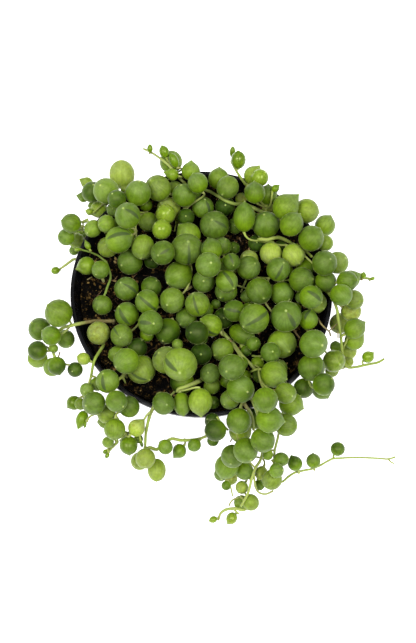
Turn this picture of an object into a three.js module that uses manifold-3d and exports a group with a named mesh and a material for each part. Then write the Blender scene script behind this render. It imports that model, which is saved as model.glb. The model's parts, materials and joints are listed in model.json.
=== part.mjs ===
/**
 * Potted string of pearls: a thin plastic nursery pot filled with peat, and trailing stems set
 * with round, pointed leaves (the pearls), heaped over the soil and spilling over the rim.
 *
 * Millimetres, +Z up. The origin is the centre of the pot's underside, and the front is at -Y.
 *
 * The pot and the soil are worked out from a few sizes. The plant is laid out as it is seen from
 * above the front of the pot: every pearl and every turn of a stem has its place and width in
 * that view, and each then sinks along its line of sight until it rests on what lies below it.
 */
import * as THREE from 'three';
import { mergeVertices } from 'three/addons/utils/BufferGeometryUtils.js';
import Module from 'manifold-3d';

const wasm = await Module();
wasm.setup();

// Pot
const RIM_RADIUS = 52.5;
const POT_HEIGHT = 76;
const BASE_RADIUS = 33.5;
const WALL = 1.0;
const LIP_OVERHANG = 0.6;
const LIP_HEIGHT = 2.4;
const COLLAR_HEIGHT = 11;
const COLLAR_STEP = 0.5;
const BASE_THICKNESS = 1.4;
const FOOT_ROUND = 1.2;
const POT_SIDES = 48;
const DRAIN_HOLES = 6;
const DRAIN_RADIUS = 3;
const DRAIN_CIRCLE = 23;
const DRAIN_SIDES = 10;

// Soil: its relief is the height from hollow to lump, and its lumps sway out of line
const SOIL_BELOW_RIM = 7;
const SOIL_SIDES = 30;
const SOIL_RINGS = 7;
const SOIL_RELIEF = 1.6;
const LUMP_LENGTH = 11;
const LUMP_SWAY = 1.3;
const HOLE_SIDES = 5;

// Plant
const STEM_RADIUS = 0.6;
const STEM_SIDES = 4;
const ROOT_DEPTH = 5;
const ROOT_FROM_WALL = 3.5;
const ROOT_NECK = 0.5;

// A pearl's two rings, its neck and its tip, as parts of its radius
const PEARL_SIDES = 6;
const RING_RADIUS = 0.92;
const RING_RISE = 0.42;
const NECK_AT = 0.94;
const TIP_LENGTH = 1.05;

// Clearances: between any two pieces, of a stem over the lip, and of a short link to all else
const GAP = 0.3;
const STEM_OVER_LIP = 0.9;
const LINK_GAP = 0.12;
const LINK_CHECKS = 8;
const GUARD_SPACING = 0.8;
const MERGE_WITHIN = 1e-5;

// How the plant is laid down: its height over the rim, its lowest point, and how steeply a stem sags
const OVER_RIM = 1.6;
const LOWEST = 8;
const SETTLE_STEP = 0.2;
const STEM_SAG = 0.9;

// The view in which the plant is laid out: a frame 416 wide and 643 high, seen from VIEW_DISTANCE
const FRAME_CENTRE = { x: 208, y: 321.5 };
const VIEW_DISTANCE = 420;
const VIEW_ELEVATION = THREE.MathUtils.degToRad(70.96);
const VIEW_FOCAL = 1060.4;
const VIEW_AIM = new THREE.Vector3(2.66, -13.85, POT_HEIGHT);

const SOIL_TOP = POT_HEIGHT - SOIL_BELOW_RIM;
const UP = new THREE.Vector3(0, 0, 1);
const VIEW_RIGHT = new THREE.Vector3(1, 0, 0);
const VIEW_UP = new THREE.Vector3(0, Math.sin(VIEW_ELEVATION), Math.cos(VIEW_ELEVATION));
const TO_EYE = new THREE.Vector3(0, -Math.cos(VIEW_ELEVATION), Math.sin(VIEW_ELEVATION));
const EYE = VIEW_AIM.clone().addScaledVector(TO_EYE, VIEW_DISTANCE);

/**
 * A pearl seen at x, y and `across` wide. The layers are laid down in turn, from 0 up. `height` is
 * given for one outside the wall that hangs lower, or close under the lip.
 */
const pearl = (x, y, across, layer, height) => ({ x, y, across, layer, height });

/** A turn of a stem seen at x, y. */
const turn = (x, y, layer = 3, height = undefined) => ({ x, y, layer, height });

/**
 * Every leafy stem, from its root outward. `droop` is how far it falls for each millimetre that it
 * is seen outside the rim, and `girth` is its stem's radius.
 */
const STRANDS = {
  strand_01: {
    droop: 0.7,
    beads: [
      pearl(108, 247, 21, 0),
      pearl(118.8, 239.8, 26.5, 2),
      pearl(93, 228.6, 17.5, 2),
      pearl(106.5, 223.8, 18, 2),
      turn(87.5, 221, 1),
      turn(82, 222.5, 1),
      pearl(71.3, 223.3, 20, 3),
      pearl(66.5, 237, 17.5, 2),
      pearl(76.6, 241, 16, 1, 61),
      pearl(74, 250.5, 10, 0, 59),
      turn(73, 259.5, 0, 60),
      turn(67, 264, 0, 59),
      turn(60, 269, 0, 58),
      pearl(55.5, 270.5, 8, 0, 57),
    ],
  },
  strand_02: {
    droop: 0.5,
    beads: [
      pearl(113.5, 209.5, 14, 0),
      pearl(116.7, 199, 18.5, 3),
      pearl(106, 190.8, 26, 2),
      pearl(92.2, 192, 21, 1),
      pearl(87, 183, 12, 0),
      pearl(83.5, 197, 11, 0),
      pearl(92, 205.5, 8, 0, 65),
      pearl(99, 209.5, 17, 0, 62),
      pearl(89.5, 211.8, 7, 0, 63),
    ],
  },
  strand_03: {
    droop: 0.3,
    beads: [
      pearl(148.5, 222, 20, 0),
      pearl(146, 205, 13, 0),
      pearl(138, 193, 26, 1),
      pearl(122, 174.5, 26, 0),
      pearl(127.7, 215.8, 26.3, 3),
    ],
  },
  strand_04: {
    droop: 0.3,
    beads: [
      pearl(168.8, 208.6, 23.5, 0),
      pearl(165.6, 214.3, 20.2, 1),
      pearl(161.8, 229.4, 19.3, 2),
    ],
  },
  strand_05: {
    droop: 0.3,
    beads: [
      pearl(186, 217, 17, 0),
      pearl(175, 189, 16, 0),
      turn(184.5, 182.5, 1),
      turn(179.8, 178.5, 1),
      turn(171, 167.6, 1),
      turn(161.5, 159.3, 1),
      turn(151.5, 152.6, 1),
      turn(143.5, 148.7, 1),
      pearl(184.2, 195.3, 24, 1),
      pearl(158, 188, 26.5, 0),
      pearl(190.8, 171.3, 18.3, 1),
      pearl(197.8, 183, 20.7, 2),
      pearl(171, 162, 23, 0),
      pearl(172.3, 174.5, 12.5, 2),
      pearl(164.2, 151.8, 10, 2),
      pearl(173.8, 160.5, 10, 2),
    ],
  },
  strand_06: {
    droop: 0.3,
    beads: [
      pearl(225.2, 206.3, 20, 0),
      pearl(203, 207.5, 22, 0),
      pearl(218.7, 178.7, 21, 0),
      pearl(227.7, 187.3, 22.5, 1),
    ],
  },
  strand_07: {
    droop: 0.3,
    beads: [
      pearl(268, 208, 12, 0),
      pearl(267.5, 195, 19.5, 0),
      pearl(254.8, 193, 21, 2),
      pearl(253.3, 175.6, 19, 0),
      pearl(260, 177.6, 17.5, 1),
      turn(246.5, 185.5, 1),
      turn(240.5, 177.5, 1),
      turn(235.2, 169, 1),
      turn(231, 161.5, 1),
      pearl(238.4, 160, 15, 2),
      pearl(275.3, 188.5, 8, 2),
    ],
  },
  strand_08: {
    droop: 0.3,
    girth: 0.8,
    beads: [
      pearl(235, 226, 16, 0),
      pearl(241, 199, 12, 0),
      pearl(214.6, 225.3, 29.6, 1),
      pearl(266, 224.8, 27.3, 1),
      turn(262, 212, 3),
      turn(256.5, 209.3, 3),
      turn(250, 206.3, 3),
      turn(241.5, 203.6, 3),
      turn(235, 204, 3),
      turn(228, 201.8, 3),
      turn(222.5, 198.7, 3),
      turn(216.5, 195.2, 3),
      turn(211, 192, 3),
      turn(206, 190.3, 3),
      pearl(244.3, 217.5, 22, 4),
    ],
  },
  strand_09: {
    droop: 0.6,
    beads: [
      pearl(285.6, 207, 26, 2),
      pearl(291.5, 224.3, 23, 3),
      pearl(306.7, 210.8, 24.6, 0),
    ],
  },
  strand_10: {
    droop: 0.7,
    beads: [
      pearl(311.2, 238.3, 26, 2),
      pearl(325, 225.5, 21, 1),
      pearl(325, 243, 16.5, 0),
    ],
  },
  strand_11: {
    droop: 0.7,
    girth: 0.75,
    beads: [
      pearl(280.5, 246.5, 13, 0),
      pearl(271, 253.7, 23, 1),
      turn(262, 239.3, 1),
      turn(267.3, 239.7, 1),
      turn(273, 238.2, 1),
      turn(279.5, 237.6, 1),
      turn(287.4, 240.9, 1),
      turn(296, 246, 1),
      turn(304.5, 250, 1),
      turn(312, 257, 1),
      pearl(293.5, 255, 23, 1),
      pearl(324.6, 263.1, 25.5, 3),
      pearl(337.4, 262.7, 22.5, 1),
    ],
  },
  strand_12: {
    droop: 0.8,
    beads: [
      pearl(316.5, 302.5, 21, 0),
      pearl(311, 297, 23.7, 1),
      pearl(325.8, 281.2, 21, 2),
      pearl(347, 281.2, 21, 2),
      pearl(350.5, 279.3, 18.5, 1),
      turn(361, 277.7, 1),
      turn(366, 278.2, 1),
      turn(372, 278.9, 1),
    ],
  },
  strand_13: {
    droop: 0.8,
    girth: 0.62,
    beads: [
      turn(323, 287.5, 0),
      turn(327.5, 292, 0),
      turn(331.5, 297, 0),
      turn(335, 303.5, 0),
      turn(337.3, 311, 0),
      turn(338.2, 319, 0),
      turn(339.7, 327.4, 0),
      turn(340.9, 336, 0),
      turn(341.9, 350, 0),
      turn(343.5, 360, 0),
      turn(347.5, 367, 0),
      turn(354, 367.3, 0),
      turn(362, 365.8, 0),
      turn(370, 364, 0),
      turn(378, 362.4, 0),
      turn(384, 359, 0),
      pearl(341.2, 295, 22, 2),
      pearl(354, 299.7, 20, 1),
      pearl(351, 311.2, 20.5, 0),
      pearl(354.5, 328.5, 21, 2),
      pearl(354.3, 340.3, 20, 1),
      pearl(339.8, 323.3, 20.5, 0, 61),
      pearl(335.6, 346.8, 11.5, 0, 65),
      pearl(348.8, 362, 10, 1, 62),
      pearl(368, 357, 12, 1),
      pearl(347.3, 350.5, 19, 0, 60),
    ],
  },
  strand_14: {
    droop: 0.9,
    beads: [
      pearl(308.3, 319.7, 19.5, 0),
      pearl(313.6, 343.7, 29, 2),
      pearl(311.5, 367.5, 27.5, 1),
      pearl(334, 361, 23, 0),
      pearl(332, 370.5, 14, 0, 63),
      pearl(323.7, 384.3, 22.5, 1),
      pearl(322, 389.3, 20, 0),
      pearl(303.5, 388.3, 20.5, 0),
    ],
  },
  strand_15: {
    beads: [
      pearl(256.6, 243, 17, 0),
      pearl(249.3, 259.3, 18.5, 0),
      pearl(248.5, 267.7, 24, 1),
    ],
  },
  strand_16: {
    beads: [
      pearl(233.5, 248, 13, 0),
      pearl(223, 246, 17.3, 1),
      pearl(211.7, 249.3, 22, 2),
      pearl(231.3, 262, 18, 2),
      pearl(208.3, 265, 25.7, 3),
    ],
  },
  strand_17: {
    beads: [
      pearl(188.5, 234.5, 24, 0),
      pearl(186.6, 249, 32, 1),
      pearl(178.6, 275.3, 27.5, 2),
      pearl(172.1, 300.4, 25.3, 1),
    ],
  },
  strand_18: {
    beads: [
      pearl(203.6, 281.5, 22.5, 1),
      pearl(197.3, 304.2, 25, 2),
      pearl(186.2, 318, 21, 0),
      pearl(215.7, 304.2, 9.8, 0),
    ],
  },
  strand_19: {
    beads: [
      pearl(152, 260.5, 16.5, 0),
      pearl(162.8, 252.7, 24.5, 1),
    ],
  },
  strand_20: {
    beads: [
      pearl(130, 262, 25.3, 0),
      pearl(142.8, 247, 23.3, 1),
      pearl(126.3, 288.7, 24.5, 1),
    ],
  },
  strand_21: {
    beads: [
      pearl(151.2, 287, 21, 0),
      pearl(147, 301.7, 24, 1),
      pearl(126.8, 314.2, 24, 1),
      pearl(121.6, 335.5, 22.4, 2),
    ],
  },
  strand_22: {
    beads: [
      pearl(167.5, 331, 25.5, 0),
      pearl(150.5, 322.9, 25.2, 1),
    ],
  },
  strand_23: {
    beads: [
      pearl(226, 291.3, 22.3, 0),
      pearl(226.8, 281.3, 22.3, 1),
      pearl(247.8, 296.2, 14, 0),
    ],
  },
  strand_24: {
    girth: 0.75,
    beads: [
      pearl(223.8, 318, 21, 0),
      pearl(234.3, 310.8, 22, 1),
      pearl(210.8, 325.3, 23.3, 1),
      turn(221.9, 331.5, 4),
      turn(228.4, 338.7, 4),
      turn(235.5, 346.9, 4),
      turn(241.5, 355.1, 4),
      turn(249.7, 363.5, 4),
      turn(255.7, 370.5, 4),
      turn(259.4, 377.5, 4),
      turn(262, 384, 4),
      pearl(273.8, 374.4, 27, 2),
      pearl(265.4, 400, 25.5, 6),
      pearl(285.5, 393.2, 21.5, 5),
      pearl(291, 404, 24, 3),
    ],
  },
  strand_25: {
    beads: [
      pearl(282, 293.5, 24, 0),
      pearl(278.3, 269.4, 23.7, 1),
      pearl(259, 291, 26.7, 1),
      pearl(301.5, 279.8, 25.5, 1),
      pearl(286, 316.5, 31, 2),
    ],
  },
  strand_26: {
    beads: [
      pearl(242, 334.5, 19, 0),
      pearl(254.2, 318.7, 30, 1),
      pearl(246.5, 350.5, 12, 0),
    ],
  },
  strand_27: {
    beads: [
      pearl(282, 343.8, 28.5, 0),
      pearl(270.6, 352.4, 20.3, 1),
      pearl(257.3, 363.5, 14, 0),
      pearl(278.5, 368, 18, 0),
    ],
  },
  strand_28: {
    droop: 1.1,
    girth: 0.72,
    beads: [
      pearl(222, 349.5, 23, 0),
      pearl(232, 367.1, 26.5, 2),
      pearl(240.6, 389, 27.5, 1),
      pearl(230, 399.5, 20, 0),
      turn(244, 403.5, 1),
      turn(247.7, 408.8, 1),
      turn(251, 414, 1),
      turn(252.8, 421, 1),
      turn(253.5, 430, 1),
      pearl(238.9, 421, 25.6, 5),
      pearl(240.2, 431, 23, 4),
      pearl(245.6, 450.3, 25, 3),
      pearl(232.5, 456.3, 23.5, 2, 52),
      pearl(226.6, 466.5, 24.5, 1, 45),
      pearl(221, 474, 14, 0, 46),
      pearl(226.2, 485.6, 9.7, 0, 44),
    ],
  },
  strand_29: {
    beads: [
      pearl(137.3, 348, 20, 0),
      pearl(126.2, 361, 26, 1),
      pearl(141.4, 369.6, 28.5, 0),
    ],
  },
  strand_30: {
    beads: [
      pearl(201, 354, 22, 0),
      pearl(166, 360, 28, 0),
      pearl(180.2, 364.3, 34, 1),
      pearl(177.5, 344.3, 11, 1),
    ],
  },
  strand_31: {
    beads: [
      pearl(200, 337, 17, 0),
      pearl(197, 332.8, 23.5, 1),
    ],
  },
  strand_32: {
    droop: 1.0,
    girth: 0.8,
    beads: [
      pearl(212, 386, 17, 0),
      pearl(210, 373.5, 20.3, 1),
      turn(200.5, 380.4, 2),
      turn(191, 384.6, 2),
      turn(184, 387.3, 2),
      turn(179, 388.8, 2),
      turn(176.8, 391.8, 2),
      pearl(182, 382, 24, 0),
      pearl(181.8, 404, 17.5, 2),
      pearl(200.3, 401.5, 24, 3),
      pearl(163.5, 403.5, 22.7, 3),
    ],
  },
  strand_33: {
    droop: 0.9,
    girth: 0.7,
    beads: [
      pearl(98.5, 333, 23.3, 1),
      turn(102.5, 347, 0),
      turn(98.5, 353, 0),
      turn(95.8, 357.5, 0),
      turn(93.7, 362.5, 0),
      turn(92.5, 368, 0),
      turn(91.3, 375, 0),
      turn(89.5, 382, 0),
      pearl(83.6, 358.8, 12.5, 1),
      pearl(86.8, 390, 14.5, 1),
      pearl(97, 384, 14, 0),
      pearl(93.9, 403.3, 23.7, 2),
      pearl(74, 402.8, 14.5, 0),
      pearl(75.1, 369.6, 15.5, 1),
      pearl(80.5, 404, 12, 1),
      pearl(82, 418.8, 12, 0),
    ],
  },
  strand_34: {
    droop: 0.9,
    beads: [
      turn(124, 375, 0),
      turn(118, 380, 0),
      turn(112, 384, 0),
      pearl(107.6, 381.2, 24, 1),
      pearl(129, 406.7, 22, 1),
      pearl(116.4, 401.2, 21.7, 2),
      pearl(106.5, 414, 19, 1),
      pearl(105, 421.5, 14, 0),
      pearl(114.7, 429.2, 21.7, 2),
      pearl(136.5, 428, 17.3, 1),
      pearl(128.6, 445.3, 18, 1),
      pearl(138.5, 438.8, 9.5, 0),
      turn(117.5, 442, 0),
      turn(112, 447.5, 0),
      turn(108.8, 451.5, 0),
      turn(107, 457, 0),
      pearl(108, 442.2, 12, 1),
    ],
  },
  strand_35: {
    droop: 1.1,
    girth: 0.68,
    beads: [
      turn(158, 394, 0),
      turn(155, 404, 0),
      turn(151.8, 410.7, 0),
      turn(149.5, 416.5, 0),
      turn(147.6, 424, 0),
      turn(145.9, 433, 0),
      turn(145.3, 442, 0),
      turn(145.2, 447, 0),
      pearl(145.5, 458.4, 20, 2),
      pearl(140, 461, 18.5, 1),
      pearl(156.7, 470, 19, 1),
      turn(150, 447.3, 0),
      turn(157, 449.3, 0),
      turn(164.5, 443.5, 0),
      turn(171.6, 438.8, 0),
      turn(181, 440.3, 0),
      turn(190.5, 440, 0),
      turn(199, 438.8, 0),
      turn(207, 436, 0),
      pearl(165.4, 447, 15, 1),
      pearl(179.5, 450.9, 13.8, 0),
      pearl(194.3, 445, 13.7, 0),
      pearl(215.4, 430.4, 22, 2),
      pearl(212.3, 421, 15.5, 1),
      pearl(213, 440.5, 12, 0),
    ],
  },
  strand_36: {
    droop: 1.1,
    girth: 0.66,
    beads: [
      turn(250, 396, 0),
      turn(254, 404, 0),
      turn(257, 412, 0),
      turn(260, 424, 0),
      turn(262, 438, 0),
      turn(262.3, 452, 0),
      turn(260, 461, 3),
      turn(255.2, 468.4, 3),
      turn(251.6, 479, 3),
      turn(249.2, 489.7, 3),
      turn(245.7, 498, 3),
      turn(241, 506.3, 3),
      pearl(254.8, 418.5, 22, 0, 60),
      pearl(269.5, 419.5, 26.5, 5),
      pearl(286, 425, 23, 3),
      pearl(262.8, 440, 24.7, 4),
      pearl(244.2, 470.5, 18.7, 0),
      pearl(231, 478.5, 13, 0, 40),
      pearl(241.9, 487.4, 13.2, 1),
      pearl(261.2, 473, 12.8, 1),
      pearl(259.4, 485, 11, 0),
      pearl(240.5, 502.5, 14, 0),
      pearl(250.7, 502.3, 17.3, 1),
      turn(237, 508.5, 2),
      turn(230, 508.8, 2),
      turn(225, 510, 2),
      turn(220.5, 513.5, 2),
      turn(218.3, 520, 2),
      pearl(231.7, 518.2, 11.3, 1),
    ],
  },
  strand_37: {
    droop: 0.9,
    girth: 0.5,
    beads: [
      turn(276.5, 382, 0),
      turn(279.5, 389, 0),
      turn(284, 399, 0),
      turn(284, 408, 0),
      turn(281, 418, 0),
      turn(279.5, 428, 0),
      turn(278, 437, 0),
      turn(276, 445, 0),
      turn(274.5, 452, 0),
      turn(274, 460, 0),
      turn(273, 469, 0),
      turn(274, 478, 0),
      turn(281.4, 482, 0),
      turn(288, 477, 0),
      turn(295, 472.6, 0),
      turn(304.5, 470.3, 0),
      turn(311.6, 469, 0),
      turn(319.9, 465.5, 0),
      turn(328.2, 460.8, 0),
      turn(332.9, 458.7, 0),
      turn(340, 458.2, 0),
      turn(352, 457.5, 0),
      turn(365, 457.7, 0),
      turn(378, 458.3, 0),
      turn(388, 459, 0),
      turn(395, 457, 0),
      pearl(267.7, 454.8, 11, 1),
      pearl(281.2, 459.3, 14.5, 1),
      pearl(276.5, 470.5, 15, 1),
      pearl(272, 479.7, 20.5, 2),
      pearl(295, 463.5, 15, 1),
      pearl(313.4, 461, 14.5, 1),
      pearl(337.7, 449, 14.2, 1),
    ],
  },
  strand_38: {
    droop: 0.9,
    girth: 0.9,
    beads: [
      turn(113, 321, 0),
      turn(104, 321.3, 0),
      turn(97, 320.7, 0),
      turn(88.4, 321.9, 0),
      turn(80, 323.6, 0),
      turn(71.8, 325.4, 0),
      turn(64, 327.5, 0),
      turn(59, 331, 0),
      turn(54.5, 339, 0),
      turn(52.5, 349, 0),
      turn(55, 357.5, 0),
      pearl(56.8, 365.8, 18, 2),
      pearl(52.6, 367, 19, 1),
      pearl(53.8, 348.6, 9, 1),
      pearl(65.6, 338.9, 19, 1, 64),
      pearl(51.2, 335.6, 19.8, 2),
      pearl(58.6, 313.2, 28, 2),
      pearl(39.7, 329.1, 23.3, 1),
      pearl(37.5, 350.5, 19.5, 2),
      pearl(37.6, 358.3, 19.3, 1),
    ],
  },
  strand_39: {
    droop: 0.7,
    girth: 0.7,
    beads: [
      pearl(102.3, 305, 20, 0),
      turn(105.4, 293.3, 1),
      turn(107.6, 286.4, 1),
      turn(110, 280, 1),
      turn(110.5, 274.9, 1),
      turn(108.2, 266.8, 1),
      turn(105.9, 261.7, 1),
      turn(103, 259.4, 1),
      turn(97.9, 255.4, 1),
      turn(89, 251.8, 1),
      turn(81, 249.7, 1),
    ],
  },
  strand_40: {
    droop: 0.7,
    beads: [
      pearl(100.5, 269.8, 18.3, 1),
      pearl(86.4, 265.8, 17.7, 0),
    ],
  },
};

/** The vertices of a three.js geometry, merged by place, as a closed manifold solid. */
function toSolid(geometry) {
  const bare = geometry.clone();
  bare.deleteAttribute('normal');
  bare.deleteAttribute('uv');
  const merged = mergeVertices(bare, MERGE_WITHIN);
  const corners = merged.index.array;
  const faces = [];
  for (let i = 0; i < corners.length; i += 3) {
    const [a, b, c] = corners.slice(i, i + 3);
    if (a !== b && b !== c && c !== a) faces.push(a, b, c);
  }
  const vertProperties = new Float32Array(merged.attributes.position.array);
  return new wasm.Manifold(new wasm.Mesh({ numProp: 3, vertProperties, triVerts: new Uint32Array(faces) }));
}

/** A manifold solid as a named three.js mesh. */
function toMesh(name, solid, material) {
  const { vertProperties, triVerts } = solid.getMesh();
  const geometry = new THREE.BufferGeometry();
  geometry.setAttribute('position', new THREE.BufferAttribute(vertProperties, 3));
  geometry.setIndex(new THREE.BufferAttribute(triVerts, 1));
  geometry.computeVertexNormals();
  const mesh = new THREE.Mesh(geometry, material);
  mesh.name = name;
  return mesh;
}

/** A profile of [radius, height] points turned round the Z axis. */
function turned(profile, sides) {
  const points = profile.map(([radius, height]) => new THREE.Vector2(radius, height));
  return new THREE.LatheGeometry(points, sides).rotateX(Math.PI / 2);
}

/** Radius of the middle of the pot's wall at height z. */
function wallRadius(z) {
  const top = RIM_RADIUS - LIP_OVERHANG - WALL / 2;
  const bottom = BASE_RADIUS - WALL / 2;
  return bottom + ((top - bottom) * z) / POT_HEIGHT;
}

const WALL_SLOPE = Math.hypot(1, wallRadius(1) - wallRadius(0));

/** Pot: tapered wall with a collar, a rolled lip, and a floor with drain holes. */
function makePot() {
  const outer = (z) => wallRadius(z) + WALL / 2;
  const inner = (z) => wallRadius(z) - WALL / 2;
  const collar = POT_HEIGHT - COLLAR_HEIGHT;
  const lip = POT_HEIGHT - LIP_HEIGHT;
  const profile = [
    [0, 0],
    [BASE_RADIUS - FOOT_ROUND, 0],
    [outer(FOOT_ROUND), FOOT_ROUND],
    [outer(collar) - COLLAR_STEP, collar],
    [outer(collar), collar + COLLAR_STEP],
    [outer(lip), lip],
    [RIM_RADIUS, lip + LIP_OVERHANG],
    [RIM_RADIUS, POT_HEIGHT - LIP_OVERHANG / 2],
    [RIM_RADIUS - LIP_OVERHANG / 2, POT_HEIGHT],
    [inner(POT_HEIGHT), POT_HEIGHT],
    [inner(BASE_THICKNESS), BASE_THICKNESS],
    [0, BASE_THICKNESS],
  ];
  let pot = toSolid(turned(profile, POT_SIDES));
  for (let i = 0; i < DRAIN_HOLES; i += 1) {
    const angle = (i / DRAIN_HOLES) * 2 * Math.PI;
    const depth = 2 * (BASE_THICKNESS + GAP);
    const hole = new THREE.CylinderGeometry(DRAIN_RADIUS, DRAIN_RADIUS, depth, DRAIN_SIDES);
    hole.rotateX(Math.PI / 2);
    hole.translate(DRAIN_CIRCLE * Math.cos(angle), DRAIN_CIRCLE * Math.sin(angle), 0);
    pot = pot.subtract(toSolid(hole));
  }
  return pot;
}

/** How far the soil dips below its highest level at x, y. */
function soilDip(x, y) {
  const wave = (2 * Math.PI) / LUMP_LENGTH;
  const lumps = Math.sin(wave * x + LUMP_SWAY * Math.sin(wave * y)) * Math.cos(wave * y);
  return (SOIL_RELIEF * (1 - lumps)) / 2;
}

/** Soil: fills the pot to just below the rim, lumpy on top, with a plain hole for every root. */
function makeSoil(roots) {
  const radius = (z) => wallRadius(z) - WALL / 2 - GAP;
  const profile = [[0, BASE_THICKNESS + GAP], [radius(BASE_THICKNESS + GAP), BASE_THICKNESS + GAP]];
  for (let ring = SOIL_RINGS; ring >= 0; ring -= 1) {
    profile.push([(radius(SOIL_TOP - SOIL_RELIEF) * ring) / SOIL_RINGS, SOIL_TOP]);
  }
  const geometry = turned(profile, SOIL_SIDES);
  const { position } = geometry.attributes;
  for (let i = 0; i < position.count; i += 1) {
    if (position.getZ(i) > SOIL_TOP - GAP) {
      position.setZ(i, SOIL_TOP - soilDip(position.getX(i), position.getY(i)));
    }
  }
  const holes = roots.map((root) => toSolid(rootHole(root)));
  return toSolid(geometry).subtract(wasm.Manifold.union(holes));
}

/** The plain hole that a root stands in, its flat sides a gap away from the root. */
function rootHole({ foot, radius }) {
  const depth = ROOT_DEPTH + GAP;
  const corner = (radius + GAP) / Math.cos(Math.PI / HOLE_SIDES);
  const hole = new THREE.CylinderGeometry(corner, corner, 2 * depth, HOLE_SIDES);
  hole.rotateX(Math.PI / 2);
  hole.translate(foot.x, foot.y, SOIL_TOP);
  return hole;
}

/** The point at height z on the line of sight through x, y. */
function onSightLine(x, y, z) {
  const ray = new THREE.Vector3()
    .addScaledVector(VIEW_RIGHT, (x - FRAME_CENTRE.x) / VIEW_FOCAL)
    .addScaledVector(VIEW_UP, (FRAME_CENTRE.y - y) / VIEW_FOCAL)
    .sub(TO_EYE);
  return EYE.clone().addScaledVector(ray, (z - EYE.z) / ray.z);
}

/** Distance from the eye, along the view. */
const depthOf = (point) => EYE.clone().sub(point).dot(TO_EYE);

/** Whether a ball clears the pot's wall by the gap, on its own side of the wall, and the lip too. */
function clearsPot(centre, radius, outside, gap = GAP) {
  const reach = Math.hypot(centre.x, centre.y);
  const lipReach = reach - (RIM_RADIUS - (WALL + LIP_OVERHANG) / 2);
  const lipRise = centre.z - (POT_HEIGHT - LIP_HEIGHT / 2);
  if (Math.hypot(lipReach, lipRise) < radius + LIP_HEIGHT / 2 + gap) return false;
  if (lipRise > 0) return true;
  const room = (reach - wallRadius(centre.z)) / WALL_SLOPE;
  return (outside ? room : -room) > radius + WALL + GAP;
}

/** Where a bead would start from, if nothing were in its way: the soil, or the air outside the rim. */
function lowestStart(bead) {
  if (bead.height) return { start: bead.height, outside: true };
  const seen = onSightLine(bead.x, bead.y, POT_HEIGHT);
  const beyond = Math.hypot(seen.x, seen.y) - RIM_RADIUS;
  const outside = beyond > 0;
  const start = outside ? Math.max(LOWEST, POT_HEIGHT + OVER_RIM - bead.droop * beyond) : SOIL_TOP;
  return { start, outside };
}

/** Raises a bead along its line of sight until it is clear of the pot, the soil and all that is laid. */
function settle(bead, laid, atLeast = 0) {
  const { start, outside } = lowestStart(bead);
  const potGap = bead.across ? GAP : STEM_OVER_LIP;
  for (let z = Math.max(start, atLeast); ; z += SETTLE_STEP) {
    const centre = onSightLine(bead.x, bead.y, z);
    const radius = bead.across ? (bead.across / 2) * (depthOf(centre) / VIEW_FOCAL) : bead.girth;
    const offSoil = outside || centre.z - radius > SOIL_TOP + GAP;
    const free = laid.every((other) => {
      const sameStem = !bead.across && !other.across && other.strand === bead.strand;
      return sameStem || centre.distanceTo(other.centre) > radius + other.radius + GAP;
    });
    if (offSoil && free && clearsPot(centre, radius, outside, potGap)) {
      Object.assign(bead, { centre, radius });
      return;
    }
  }
}

/** Balls along the straight line between two beads, which keep the rest of the plant off it. */
function guards(from, to, radius) {
  const count = Math.ceil(from.centre.distanceTo(to.centre) / GUARD_SPACING);
  const balls = [];
  for (let i = 1; i < count; i += 1) {
    const centre = from.centre.clone().lerp(to.centre, i / count);
    balls.push({ centre, radius, strand: from.strand });
  }
  return balls;
}

/** Lays the turns of one stem. It is stiff, so it falls from one turn to the next no more than its sag. */
function layStem(turns, laid) {
  const holdUp = (bead, neighbour) => {
    if (!neighbour) return;
    const apart = onSightLine(bead.x, bead.y, POT_HEIGHT).distanceTo(
      onSightLine(neighbour.x, neighbour.y, POT_HEIGHT),
    );
    const limit = neighbour.centre.z - STEM_SAG * apart;
    if (bead.centre.z < limit) settle(bead, laid, limit);
  };
  turns.forEach((bead) => settle(bead, laid));
  turns.forEach((bead, i) => holdUp(bead, turns[i - 1]));
  [...turns].reverse().forEach((bead, i, back) => holdUp(bead, back[i - 1]));
  turns.forEach((bead, i) => {
    if (i > 0) laid.push(...guards(turns[i - 1], bead, bead.girth));
    laid.push(bead);
  });
}

/** Lays every pearl and stem of every strand, layer by layer. */
function layPlant() {
  const beads = [];
  const steps = [];
  for (const [strand, { droop = 0.8, girth = STEM_RADIUS, beads: list }] of Object.entries(STRANDS)) {
    let turns = null;
    for (const place of list) {
      const bead = { ...place, strand, droop, girth };
      beads.push(bead);
      if (turns && !bead.across && turns[0].layer === bead.layer) {
        turns.push(bead);
      } else {
        turns = bead.across ? null : [bead];
        steps.push({ layer: bead.layer, bead, turns });
      }
    }
  }
  const laid = [];
  for (const { bead, turns } of steps.sort((a, b) => a.layer - b.layer)) {
    if (turns) {
      layStem(turns, laid);
    } else {
      settle(bead, laid);
      laid.push(bead);
    }
  }
  return { beads, laid };
}

/** Whether the straight line between two beads of a strand stays clear of the pot and all other strands. */
function isOpen(from, to, laid) {
  const line = new THREE.Line3(from.centre, to.centre);
  const near = new THREE.Vector3();
  for (let i = 1; i < LINK_CHECKS; i += 1) {
    line.at(i / LINK_CHECKS, near);
    const outside = Math.hypot(near.x, near.y) > wallRadius(near.z);
    if (!clearsPot(near, from.girth, outside, LINK_GAP)) return false;
  }
  return laid.every((other) => {
    if (other.strand === from.strand) return true;
    line.closestPointToPoint(other.centre, true, near);
    return near.distanceTo(other.centre) > other.radius + from.girth + LINK_GAP;
  });
}

/** The earlier bead of its own strand that a bead grows from: the nearest that it can reach openly. */
function parentOf(bead, earlier, laid) {
  const previous = earlier[earlier.length - 1];
  if (!bead.across && !previous.across) return previous;
  const away = (other) => bead.centre.distanceTo(other.centre) - other.radius;
  const nearest = [...earlier].sort((a, b) => away(a) - away(b));
  return nearest.find((other) => isOpen(other, bead, laid)) ?? nearest[0];
}

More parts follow.
